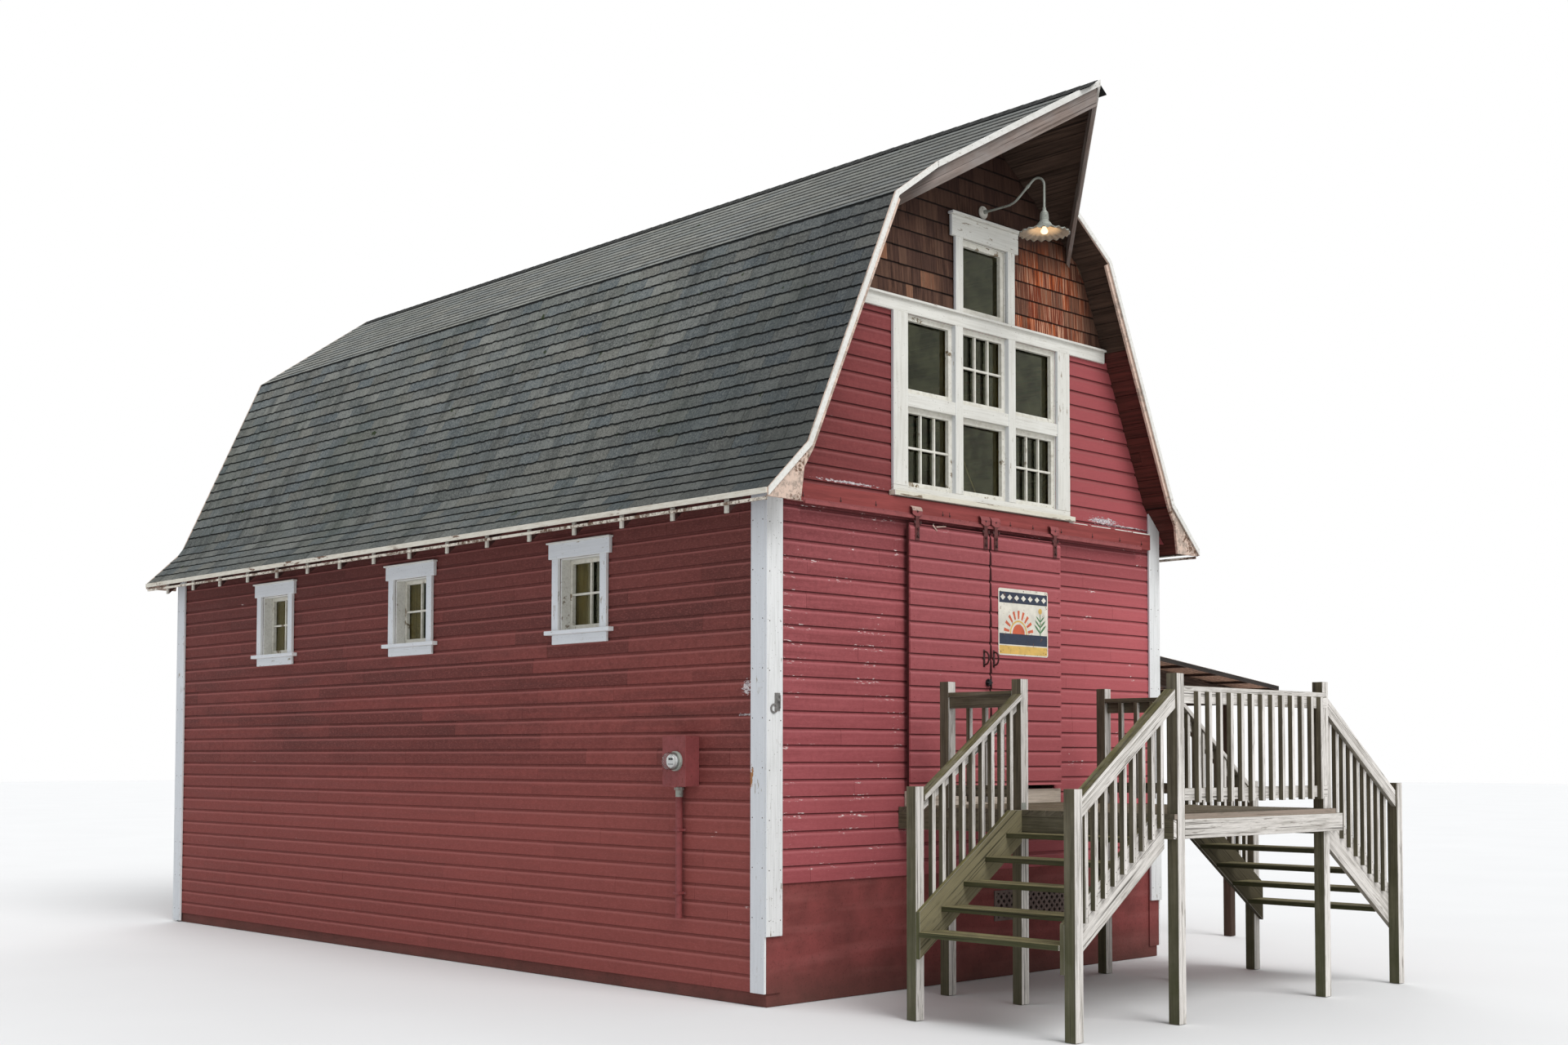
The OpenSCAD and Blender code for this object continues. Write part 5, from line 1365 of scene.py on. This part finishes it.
# Railings of the deck
BALUSTER, GAP = 0.019, 0.146
RAIL_IN = 0.013
UNDER_RAIL = RAIL_Z - LUMBER
UPPER = (UNDER_RAIL - POST, UNDER_RAIL)
LOWER = (DECK_Z + 0.095, DECK_Z + 0.095 + POST)
rails = Heap()


def baluster_places(a0, a1):
    n = round((a1 - a0) / GAP) - 1
    return [a0 + (a1 - a0) * i / (n + 1) for i in range(1, n + 1)]


x0, x1, y = DECK_X0 + POST, INNER_POST, OUTER_Y
rails.box((x0, y, UNDER_RAIL), (x1, y + POST, RAIL_Z))
for z0, z1 in (UPPER, LOWER):
    rails.box((x0, y, z0), (x1, y + LUMBER, z1))
for x in baluster_places(x0, x1):
    rails.box((x - BALUSTER, y - LUMBER, DECK_Z + 0.080), (x + BALUSTER, y, UNDER_RAIL), Z_AXIS)
    for z in (DECK_Z + 0.120, DECK_Z + 0.160, RAIL_Z - 0.065, RAIL_Z - 0.105):
        nail(x, y - LUMBER + 0.0016, z, (0, -1, 0), 0.004)
y0, y1 = LANDING_Y + POST, WALL_POST_Y
for x, rail_x, bar_x in (
    (DECK_X0, DECK_X0 + RAIL_IN, DECK_X0 + RAIL_IN + LUMBER),
    (INNER_POST, DECK_X1 - RAIL_IN - LUMBER, DECK_X1 - RAIL_IN - 2 * LUMBER),
):
    rails.box((x, y0, UNDER_RAIL), (x + POST, y1, RAIL_Z), Y_AXIS)
    for z0, z1 in (UPPER, LOWER):
        rails.box((rail_x, y0, z0), (rail_x + LUMBER, y1, z1), Y_AXIS)
    for y in baluster_places(y0, y1):
        low = (bar_x, y - BALUSTER, DECK_Z + 0.050)
        rails.box(low, (bar_x + LUMBER, y + BALUSTER, UNDER_RAIL), Z_AXIS)
piece("timber_railings", rails, [DECK_WOOD], WEATHERED, 0.002, "deck_railings")

# The two flights of steps; flip maps x of the left flight onto a side
STRING_DEPTH = 0.280 / cos(SLOPE)
STRING_TOP = DECK_Z + 0.090
CREST = RAIL_Z - 0.025
RAIL_RUN = FLIGHT - POST
STRING_RUN = RIM_X0 - NEWEL_LEFT
stringers, treads, hand = Heap(), Heap(), Heap()
for edge, flip, near_slot in ((OUTER_Y, lambda x: x, 1), (RIGHT_OUTER_Y, lambda x: DECK_X0 + DECK_X1 - x, 2)):
    way = (flip(-1) - flip(0), 0, -FALL)
    # The stringer by the landing takes the darker timber: painted shade.
    for y, slot in ((LANDING_Y - LUMBER, near_slot), (edge + POST, 0)):
        outline = (
            (RIM_X0, DECK_Z), (RIM_X0, STRING_TOP - STRING_DEPTH),
            (NEWEL_LEFT, max(STRING_TOP - STRING_DEPTH - STRING_RUN * FALL, 0)),
            (NEWEL_LEFT, STRING_TOP - STRING_RUN * FALL), (RIM_X0 - 0.090 / FALL, DECK_Z),
        )
        stringers.drawn([(flip(x), z) for x, z in outline], y, y + LUMBER, way, slot)
    for i in range(1, TREADS + 1):
        x = DECK_X0 + 0.020 - i * RUN
        z = DECK_Z - i * RISE
        x_far = min(x + RUN + 0.015, RIM_X0)
        middle = (x + x_far) / 2
        for a, b in ((x, middle - 0.003), (middle + 0.003, x_far)):
            lo, hi = sorted((flip(a), flip(b)))
            treads.box((lo, edge + POST + LUMBER, z - LUMBER), (hi, LANDING_Y - LUMBER, z), Y_AXIS)
    for y, board_y, bar_y in (
        (LANDING_Y - RAIL_IN, RAIL_IN + LUMBER, RAIL_IN), (edge + RAIL_IN, 0.0, LUMBER),
    ):
        for top, depth, y0, y1 in (
            (CREST, LUMBER, y, y + POST),
            (CREST - LUMBER / cos(SLOPE), 0.076, y + board_y, y + board_y + LUMBER),
        ):
            x, end, drop, v = DECK_X0, DECK_X0 - RAIL_RUN, RAIL_RUN * FALL, depth / cos(SLOPE)
            outline = ((x, top), (x, top - v), (end, top - drop - v), (end, top - drop))
            hand.drawn([(flip(x), z) for x, z in outline], y0, y1, way)
        for i in range(1, 10):
            x = DECK_X0 - RAIL_RUN * i / 10
            z = CREST - (DECK_X0 - x) * FALL
            foot = STRING_TOP - (RIM_X0 - x) * FALL - 0.140
            lo, hi = sorted((flip(x - BALUSTER), flip(x + BALUSTER)))
            hand.box((lo, y + bar_y, foot), (hi, y + bar_y + LUMBER, z - 0.035), Z_AXIS)
            for dz in (0.035, 0.099):
                nail((lo + hi) / 2, y + bar_y + 0.0005, foot + dz, (0, -1, 0), 0.004)
piece("step_stringers", stringers, [DECK_WOOD, MOSSY_SHADED_WOOD, SHADED_WOOD], WEATHERED, 0.002, "stair_stringers")
piece("step_treads", treads, [TREAD_WOOD], WEATHERED, 0.002, "stair_treads")
piece("step_railings", hand, [DECK_WOOD], WEATHERED, 0.002, "stair_railings")

# Sliding leaves
OUT = (0, -1, 0)
SPLINTERS = (((-0.77, 3.818), (-0.715, 3.775), 0.010), ((-0.72, 3.806), (-0.60, 3.822), 0.008))
for side in ("left", "right"):
    (x0, y0, z0), (x1, y1, z1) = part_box(side + "_door")
    leaf = Heap()
    # The leaf's core shows at its edges in painted shade.
    leaf.box((x0, y0 + SIDING, z0), (x1, y1, z1), Z_AXIS, 3)
    first = z1 - 0.006 - EXPOSURE * ceil((z1 - 0.006 - z0) / EXPOSURE)
    ends = (x0 + 0.001, x1 - 0.001)
    side_boards(leaf, leaf_at, X_AXIS, z0, z1, lambda z: ends, [], first, (9, 10))
    z = first + 0.035 + EXPOSURE
    while z < z1 - 0.02:
        for x in (x0 + 0.05, (x0 + x1) / 2, x1 - 0.05):
            leaf.disc((x, LEAF_Y + 0.001, z), OUT, 0.0045, 0.0015, 7, 1)
        z += EXPOSURE
    for a, b, w in SPLINTERS if side == "left" else ():
        d = Vector((b[0] - a[0], 0, b[1] - a[1])).normalized() * w
        outline = [a, b, (b[0] - d.z, b[1] + d.x), (a[0] - d.z * 1.6, a[1] + d.x * 1.6)]
        leaf.drawn(outline, LEAF_Y - 0.003, LEAF_Y + 0.001, X_AXIS, 2)
    piece(
        side + "_leaf_boards", leaf, [DOOR_RED, BOARD_RED, TAN_BOARD, DOOR_EDGE_SHADE], "red_siding", 0,
        side + "_door", body=side + "_leaf",
    )

# Glazing bars
BAR, SASH_W, SASH_FOOT, GROUP_SASH = 0.019, 0.042, 0.074, 0.045
bars = Heap()


def lights(at, axis, a0, a1, z0, z1, across, depth):
    """Glazing bars of one sash, two lights high."""
    for i in range(1, across):
        level(bars, at, a0 + (a1 - a0) * i / across, BAR / 2, (depth, depth - 0.024), (z0, z1), Z_AXIS)
    z = z0 + (z1 - z0) / 2
    board(bars, at, (a0, a1), (depth + 0.001, depth - 0.022), (z - BAR / 2, z + BAR / 2), axis)


for a0, a1, z0, z1 in (
    (-GROUP_HALF, -MULLION[1], GROUP_Z + 0.020, 4.798), (MULLION[1], GROUP_HALF, GROUP_Z + 0.020, 4.798),
    (-MULLION[0], MULLION[0], 4.910, BELT_Z),
):
    lights(
        front_at, X_AXIS, a0 + GROUP_SASH, a1 - GROUP_SASH, z0 + GROUP_SASH, z1 - GROUP_SASH, 3, -0.022,
    )
sashes = [(at, Y_AXIS, y) for y in WIN_Y for at in (left_at, right_at)]
for at, axis, a in sashes + [(rear_at, X_AXIS, x) for x in WIN_X]:
    half = WIN_HALF - SASH_W
    lights(at, axis, a - half, a + half, WIN_Z + SASH_FOOT, WIN_HEAD - SASH_W, 2, -0.106)
piece("glazing_bars", bars, [SASH], "white_trim", 0.002)

# Header board
header = Heap()
(x0, y0, z0), (x1, y1, z1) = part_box("track_header_board")
header.box((x0, y0, z0), (x1, y1, z1 - 0.004))
a = x0
while a < x1 - 0.05:
    b = min(a + rng.uniform(0.05, 0.32), x1)
    if rng.random() < 0.55 and a > 1.15:
        drop = rng.uniform(0.002, 0.007)
        header.box((a, y0 - 0.0005, z1 - 0.004 - drop), (b, y0 + 0.012, z1), X_AXIS, 1)
    a = b + rng.uniform(0.01, 0.12)
# Pale strips along the header's lower edge on the left: painted highlight.
a = x0
while a < -0.95:
    b = min(a + rng.uniform(0.10, 0.35), -0.90)
    corner = (b, y0 + 0.004, z0 + rng.uniform(0.003, 0.008))
    header.box((a, y0 - 0.0005, z0 - 0.0005), corner, X_AXIS, 3)
    a = b + rng.uniform(0.004, 0.05)
for x in (-2.25, -1.83, -1.421, -0.599, -0.510, 0.302, 0.62, 1.03, 1.50, 1.93, 2.28):
    foot = z0 + rng.uniform(0.040, 0.050)
    header.box((x - 0.004, y0 - 0.0006, foot), (x + 0.004, y0 + 0.002, foot + 0.034), Z_AXIS, 2)
    header.disc((x, y0, foot + 0.004), OUT, 0.008, 0.006, 6, 2)
piece(
    "header_board", header, [BOARD_RED, EDGE_TRIM, RED_METAL, HEADER_EDGE_HIGHLIGHT], "red_siding", 0,
    "track_header_board",
)

# Hangers and pulls; plates are offsets from the strap's middle at the leaf's top
LEAF_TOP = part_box("left_door")[1][2]
STRAP = [
    (-0.026, -0.140), (0.026, -0.140), (0.026, 0.010), (0.020, 0.020), (0.022, 0.060), (-0.022, 0.060),
    (-0.020, 0.020), (-0.026, 0.010),
]
IRON_HOOD = [
    (-0.022, 0.060), (0.022, 0.060), (0.060, 0.076), (0.060, 0.104), (-0.060, 0.104), (-0.060, 0.076),
]
ARROW = [(-0.020, -0.118), (0.020, -0.118), (0.006, -0.070), (-0.006, -0.070)]
WHEEL = [(0.006, 0.0), (0.024, 0.0), (0.020, -0.006), (0.024, -0.012), (0.006, -0.012)]
GRIP_Z, KNOB_Z = 2.740, 2.532


def hanger(heap, x, hood_slot):
    """Strap with bolts on the leaf, arched hood over the wheel and the wheel on the rail."""
    for plate, y0, y1, slot in ((STRAP, 0.006, 0, 2), (IRON_HOOD, 0.006, 0, 1)):
        heap.drawn(moved(plate, x, LEAF_TOP), LEAF_Y - y0, LEAF_Y - y1, Z_AXIS, slot)
    turns = [pi / 2 * i / 8 for i in range(9)]
    arch = [(LEAF_Y + 0.028 - 0.034 * sin(t), LEAF_TOP + 0.104 + 0.042 * cos(t)) for t in turns]
    loop = arch + [(y + 0.004 * sin(t), z - 0.004 * cos(t)) for (y, z), t in zip(arch, turns)][::-1]
    heap.skin([[(end, y, z) for y, z in loop] for end in (x - 0.062, x + 0.062)], X_AXIS, hood_slot)
    for h in (-0.105, -0.045):
        heap.disc((x, LEAF_Y - 0.006, LEAF_TOP + h), OUT, 0.017, 0.003, 16, 2)
        heap.disc((x, LEAF_Y - 0.009, LEAF_TOP + h), OUT, 0.011, 0.010, 6)
    heap.drawn(moved(ARROW, x, LEAF_TOP), LEAF_Y - 0.010, LEAF_Y - 0.006, Z_AXIS)
    for s in (-0.036, 0.036):
        corner = (x + s + 0.008, LEAF_Y, LEAF_TOP + 0.022)
        heap.box((x + s - 0.008, LEAF_Y - 0.010, LEAF_TOP - 0.004), corner, Z_AXIS)
    heap.disc((x, LEAF_Y - 0.010, LEAF_TOP + 0.099), (0, 1, 0), 0.008, 0.034, 16)
    heap.turned((x, LEAF_Y + 0.006, LEAF_TOP + 0.099), WHEEL, 32, axis="Y")


def pull(heap, x):
    """Bowed handle with round feet."""
    turns = [pi * (i / 16 - 0.5) for i in range(17)]
    heap.tube([
        (x, LEAF_Y - 0.003 - 0.050 * cos(t) ** 0.7, GRIP_Z + 0.056 * sin(t)) for t in turns
    ], 0.0075, 12)
    for s in (-1, 1):
        heap.disc((x, LEAF_Y, GRIP_Z + s * 0.056), OUT, 0.014, 0.005, 20, 0, 0.8)
    heap.box((x - 0.012, LEAF_Y - 0.002, GRIP_Z - 0.075), (x + 0.012, LEAF_Y, GRIP_Z + 0.075), Z_AXIS)


for side, places, pull_x in (
    ("left", (SPLIT_X - 0.947, SPLIT_X - 0.067), SPLIT_X - 0.092),
    ("right", (SPLIT_X + 0.071, SPLIT_X + 0.903), SPLIT_X + 0.038),
):
    iron, grip = Heap(), Heap()
    for x in places:
        hanger(iron, x, 3 if x < -0.9 else 1)
    piece(
        side + "_hanger_irons", iron, [RED_METAL, RAIL_METAL, STRAP_METAL, TAN_METAL], "red_metal", 0.0008,
        side + "_door_hangers", body=side + "_leaf",
    )
    pull(grip, pull_x)
    piece(
        side + "_pull", grip, [RED_METAL], "red_metal", 0, side + "_door_handle", body=side + "_leaf",
        smooth=True,
    )

knob = Heap()
x = SPLIT_X - 0.045
knob.disc((x, LEAF_Y, KNOB_Z), OUT, 0.030, 0.012, 24, 0, 0.9)
star = []
for i in range(60):
    t, r = 2 * pi * i / 60, 0.029 + 0.009 * cos(pi * i / 5)
    star.append((r * cos(t), r * sin(t)))
knob.skin([
    [(x + a * k, LEAF_Y - d, KNOB_Z + b * k) for a, b in star]
    for d, k in ((0.012, 0.80), (0.016, 1.0), (0.026, 1.0), (0.032, 0.86), (0.036, 0.45))
], Y_AXIS)
piece("star_knob", knob, [BLACK_METAL], "black_metal", 0, "door_lock", body="left_leaf")

# Tin sign, with a design of its own; outlines are offsets from its lower left corner
(sign_x, sign_y, sign_z), (x1, sign_back, z1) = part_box("tin_sign")
wide, tall = x1 - sign_x, z1 - sign_z
plaque = Heap()


def tin(outline, slot, proud=0.0005, back=sign_y + 0.0015):
    """Enamelled shape on the plate."""
    plaque.drawn(moved(outline, sign_x, sign_z), sign_y + 0.001 - proud, back, X_AXIS, slot)


def fan(cx, cz, r0, r1, t0, t1, steps=24):
    """Ring sector as an outline."""
    return arc(cx, cz, r1, t0, t1, steps) + arc(cx, cz, r0, t0, t1, steps)[::-1]


ROUND, BORDER, RIVET = 0.02, 0.012, 0.03
plate = []
for x, z, t0 in (
    (wide - ROUND, tall - ROUND, 0), (ROUND, tall - ROUND, 90), (ROUND, ROUND, 180),
    (wide - ROUND, ROUND, 270),
):
    plate += arc(x, z, ROUND, t0, t0 + 90, 4)
tin(plate, 0, 0, sign_back)
for lo, hi, slot in ((BORDER, 0.085, 2), (0.095, 0.190, 1), (tall - 0.125, tall - 0.030, 1)):
    tin(rectangle(BORDER, wide - BORDER, lo, hi), slot)
for i in range(7):
    x, z = BORDER + (wide - 2 * BORDER) * (i + 0.5) / 7, tall - 0.0775
    tin([(x - 0.034, z), (x, z - 0.026), (x + 0.034, z), (x, z + 0.026)], 0, 0.0009)
sun_x, stem = wide * 0.40, wide * 0.84
rays = [(0.132, 0.205, 6 + 20 * i, 14 + 20 * i, 3, 3) for i in range(9)]
for r0, r1, t0, t1, steps, slot in [(0.0005, 0.085, 0, 180, 24, 3), (0.105, 0.120, 0, 180, 24, 2)] + rays:
    tin(fan(sun_x, 0.190, r0, r1, t0, t1, steps), slot, 0.0008)
tin([(stem - 0.006, 0.190), (stem + 0.006, 0.190), (stem + 0.004, 0.400), (stem - 0.004, 0.400)], 4, 0.0008)
LEAF_LINE = [(0.0, 0.0), (0.35, 0.30), (0.75, 0.75), (1.0, 1.20), (0.60, 0.95), (0.15, 0.45)]
for way in (-1, 1):
    for h, size in ((0.205, 0.085), (0.255, 0.075), (0.305, 0.060)):
        tin([(stem + way * a * size, h + b * size * 0.8) for a, b in LEAF_LINE][::way], 4, 0.0009)
tin(fan(stem, 0.405, 0.0005, 0.026, 0, 360, 20), 2, 0.0009)
for a, h in (
    (RIVET, RIVET), (wide - RIVET, RIVET), (RIVET, tall - RIVET), (wide - RIVET, tall - RIVET),
    (wide / 2, tall - RIVET / 2),
):
    plaque.disc((sign_x + a, sign_y + 0.0008, sign_z + h), OUT, 0.006, 0.0008, 12, 5)
piece("enamel_sign", plaque, ENAMELS + [NAIL], "sign_tin", 0, "tin_sign", body="right_leaf")

# Goose-neck lamp
BEND, BEND_R, CROOK_R, STEM, SHADE_H, SHADE_R = 37, 0.200, 0.080, 0.190, 0.225, 0.212
STRAIGHT, CLEAR_R = 0.185, 0.062
LAMP_Z = RIDGE[1] - 0.840
lean = radians(BEND)
bend = (FRONT - 0.270, LAMP_Z + BEND_R)
crest = (
    bend[0] - BEND_R * sin(lean) - STRAIGHT * cos(lean),
    bend[1] - BEND_R + BEND_R * (1 - cos(lean)) + STRAIGHT * sin(lean),
)
crook = (crest[0] - CROOK_R * sin(lean), crest[1] - CROOK_R * cos(lean))
foot = (crook[0] - CROOK_R, crook[1] - STEM)
path = [(FRONT - 0.005, LAMP_Z), (FRONT - 0.15, LAMP_Z)]
path += arc(*bend, BEND_R, 270, 270 - BEND, 10) + arc(*crook, CROOK_R, 90 - BEND, 180, 24)
path += [(foot[0], foot[1] + STEM * 0.5), foot]
neck = Heap()
neck.tube([(0.0, y, z) for y, z in path], 0.0098, 20)
for y, radius, height, sides, slot, taper in (
    (0, 0.058, 0.008, 40, 1, 0.92), (0.008, 0.045, 0.010, 40, 1, 0.75), (0.018, 0.018, 0.022, 16, 0, 1),
):
    neck.disc((0, FRONT - y, LAMP_Z), OUT, radius, height, sides, slot, taper)
neck.disc((0, crest[0] + 0.055, crest[1] - 0.042), (0, -cos(lean), sin(lean)), 0.0135, 0.030, 20)
piece("lamp_neck", neck, [GALVANISED, PALE_METAL], "galvanised", 0, "lamp_arm")


def flute(r, t):
    k = min(max((r - 0.075) / (SHADE_R - 0.075), 0.0), 1.0)
    return 0.0085 * k ** 1.4 * cos(20 * t)


shade, bulb = Heap(), Heap()
at = (0.0, foot[0], foot[1] - SHADE_H)
collar = [(0.0100, 0.225), (0.0140, 0.225), (0.0160, 0.200), (0.0300, 0.184)]
for i in range(5):
    fin = ((0.0300, 0.180), (0.0345, 0.176), (0.0345, 0.172), (0.0305, 0.169))
    collar += [(r + 0.001 * i, h - 0.012 * i) for r, h in fin]
collar += [(0.038, 0.110), (0.046, 0.100), (0.060, 0.084), (CLEAR_R, 0.076)]
cone = [
    (CLEAR_R + (SHADE_R - CLEAR_R) * k, 0.072 - 0.066 * k - 0.010 * sin(pi * k))
    for k in (0.15, 0.35, 0.55, 0.75, 0.9, 1.0)
]
rim = [(SHADE_R + 0.003, 0.003), (SHADE_R + 0.001, 0.000)]
under = [(r - 0.001, h - 0.0035) for r, h in cone[::-1]] + [(0.060, 0.070), (0.030, 0.080), (0.0100, 0.090)]
shade.turned(at, collar + cone + rim + under, 160, 0, flute)
lining = [(r - 0.0015, h - 0.004) for r, h in cone]
lining += [(r, h - 0.0012) for r, h in lining[::-1]] + [(0.050, 0.064), (0.050, 0.066)]
shade.turned(at, lining, 160, 1, flute)
shade.turned(at, [(0.0100, 0.088), (0.024, 0.086), (0.026, 0.062), (0.0100, 0.060)], 32)
piece("lamp_shade_shell", shade, [GALVANISED, SHADE_INSIDE], "galvanised", 0, "lamp_shade", smooth=True)
bulb.turned(at, [
    (0.001, 0.060), (0.016, 0.058), (0.019, 0.046), (0.028, 0.034), (0.031, 0.022), (0.028, 0.009),
    (0.018, 0.0005), (0.001, -0.002),
], 32)
piece("lamp_bulb", bulb, [BULB], "galvanised", 0, smooth=True)

# Meter; offsets from the wall, along it and up from the box's foot
METER_Y, METER_Z, METER_H = FRONT + 0.930, 1.658, 0.404
PIPE, PIPE_OUT = 0.040, 0.040
LEFTWARDS = (-1, 0, 0)
service = Heap()


def out_box(heap, d, y, z, axis=Z_AXIS, slot=0):
    """Box on the left wall, from the far to the near distance out of it."""
    low = (-HALF_W - d[0], METER_Y + y[0], METER_Z + z[0])
    heap.box(low, (-HALF_W - d[1], METER_Y + y[1], METER_Z + z[1]), axis, slot)


out_box(service, (0.138, 0), (-0.156, 0.116), (0.003, METER_H - 0.004))
out_box(service, (0.150, 0.138), (-0.160, 0.120), (0, METER_H))
out_box(service, (0.154, 0.149), (-0.052, 0.012), (-0.006, 0.020))
pipe_x, pipe_y = -HALF_W - PIPE_OUT, METER_Y + PIPE
for z0, z1, radius, slot in ((-1.046, -0.080, 0.028, 0), (-0.085, 0.002, 0.030, 1)):
    service.tube([(pipe_x, pipe_y, METER_Z + z) for z in (z0, z1)], radius, 24, slot)
service.disc((pipe_x, pipe_y, METER_Z - 0.030), Z_AXIS, 0.040, 0.026, 8, 1)
for z in (-0.858, -0.358):
    out_box(service, (0.074, 0), (PIPE - 0.034, PIPE + 0.034), (z + 0.002, z + 0.022), X_AXIS)
    for s in (-1, 1):
        y = PIPE + s * 0.032
        out_box(service, (0.006, 0), (y - 0.012, y + 0.012), (z, z + 0.024))
        bolt = (-HALF_W - 0.006, pipe_y + s * 0.036, METER_Z + z + 0.012)
        service.disc(bolt, LEFTWARDS, 0.006, 0.004, 6, 1)
piece("service_box", service, [RED_BOX, GALVANISED], "red_metal", 0.003, "meter_box")

dial = Heap()
at = (-HALF_W - 0.150, METER_Y - 0.048, METER_Z + METER_H / 2)
RING = [(0.050, 0.0), (0.078, 0.0), (0.078, 0.019), (0.073, 0.025), (0.050, 0.025)]
DOME = [
    (0.068, 0.020), (0.070, 0.026), (0.069, 0.080), (0.064, 0.093), (0.052, 0.099), (0.001, 0.100),
    (0.001, 0.0975), (0.051, 0.0965), (0.0620, 0.091), (0.0665, 0.080), (0.0665, 0.020),
]
dial.turned(at, RING, 64, axis="X")
dial.disc(at, LEFTWARDS, 0.056, 0.030, 48, 1)
dial.disc((at[0] - 0.030, at[1], at[2]), LEFTWARDS, 0.052, 0.026, 48, 2)
for half, z0, z1, slot in ((0.024, 0.008, 0.026, 3), (0.030, -0.028, -0.020, 1)):
    low = (at[0] - 0.0575, at[1] - half, at[2] + z0)
    dial.box(low, (at[0] - 0.0555, at[1] + half, at[2] + z1), Z_AXIS, slot)
dial.turned(at, DOME, 64, 4, axis="X")
METER_LOOKS = [GALVANISED, METER, METER_FACE, BLACK_METAL, CLEAR]
piece("meter_dial", dial, METER_LOOKS, "meter_grey", 0, "electric_meter")

# Corner hasp
hasp = Heap()
x, y = -HALF_W + 0.060, FRONT - TRIM_T
for xs, ys, zs in (
    ((0, 0.054), (-0.008, 0), (0.588, 0.725)), ((0.038, 0.046), (-0.022, -0.006), (0.606, 0.708)),
    ((0.012, 0.046), (-0.013, -0.007), (0.650, 0.690)),
):
    hasp.box((x + xs[0], y + ys[0], METER_Z + zs[0]), (x + xs[1], y + ys[1], METER_Z + zs[1]), Z_AXIS)
ring = [(0.024, 0.001), (0.037, 0.001), (0.037, 0.009), (0.024, 0.009)]
hasp.turned((x - 0.010, y - 0.001, METER_Z + 0.606), ring, 24, axis="Y")
hasp.disc((x + 0.027, y - 0.008, METER_Z + 0.670), OUT, 0.014, 0.020, 16, 0, 0.8)
for z in (0.602, 0.712):
    hasp.disc((x + 0.012, y - 0.008, METER_Z + z), OUT, 0.006, 0.003)
piece("corner_hasp", hasp, [GREY_METAL], "red_metal", 0.001, "corner_latch")

piece("nail_heads", nails, [NAIL], WEATHERED, 0)

# The CAD pieces that stay
FINISHES = {
    "foundation": MASONRY, "rake_boards": RAKE_TRIM, "eave_boards": EAVE_TRIM, "rafter_tails": TAIL_TRIM,
    "gable_window_sashes": SASH, "gable_window_glass": GLASS, "window_sashes": SASH, "window_glass": GLASS,
    "door_rail": RAIL_METAL, "deck_lattice": LATTICE_GREY,
}
for node_name, finish in FINISHES.items():
    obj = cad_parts[node_name]
    obj.data.materials.clear()
    obj.data.materials.append(finish)

# Floor, world and lamps
SIZE, SINK = 120, -0.004
stage_mesh = bpy.data.meshes.new("floor_plane")
stage_mesh.from_pydata([(x, y, SINK) for x, y in rectangle(-SIZE, SIZE, -SIZE, SIZE)], [], [(0, 1, 2, 3)])
stage = bpy.data.objects.new("floor_plane", stage_mesh)
scene.collection.objects.link(stage)
pale = Paint("pale_floor")
pale.colour = pale.mix(pale.noise(pale.spot, 0.5, 2, 0.5), (0.78, 0.78, 0.78), (0.82, 0.82, 0.82))
stage_mesh.materials.append(pale.finish(0.9, specular=0.1))

scene.world = bpy.data.worlds.new("studio")
scene.world.use_nodes = True
sky = Nodes(scene.world.node_tree)
ray = sky.node("LightPath").outputs
other = sky.plus(ray["Is Glossy Ray"], ray["Is Transmission Ray"])
seen = sky.node("Math", operation="ADD", use_clamp=True, in0=ray["Is Camera Ray"], in1=other)
soft = sky.node("Background", in0=(0.96, 0.98, 1.0), in1=0.62)
white = sky.node("Background", in0=(1, 1, 1), in1=1.0)
blend = sky.node("MixShader", in0=seen.outputs[0], in1=soft.outputs[0], in2=white.outputs[0])
sky.node("OutputWorld", in0=blend.outputs[0])

for name, towards, strength, angle in (
    ("key_lamp", (-0.10, -0.66, 0.74), 1.9, 35), ("back_lamp", (0.55, 0.62, 0.56), 0.7, 40),
):
    lamp = bpy.data.lights.new(name, "SUN")
    lamp.energy = strength
    lamp.angle = radians(angle)
    holder = bpy.data.objects.new(name, lamp)
    holder.rotation_euler = Vector(towards).to_track_quat("Z", "Y").to_euler()
    scene.collection.objects.link(holder)
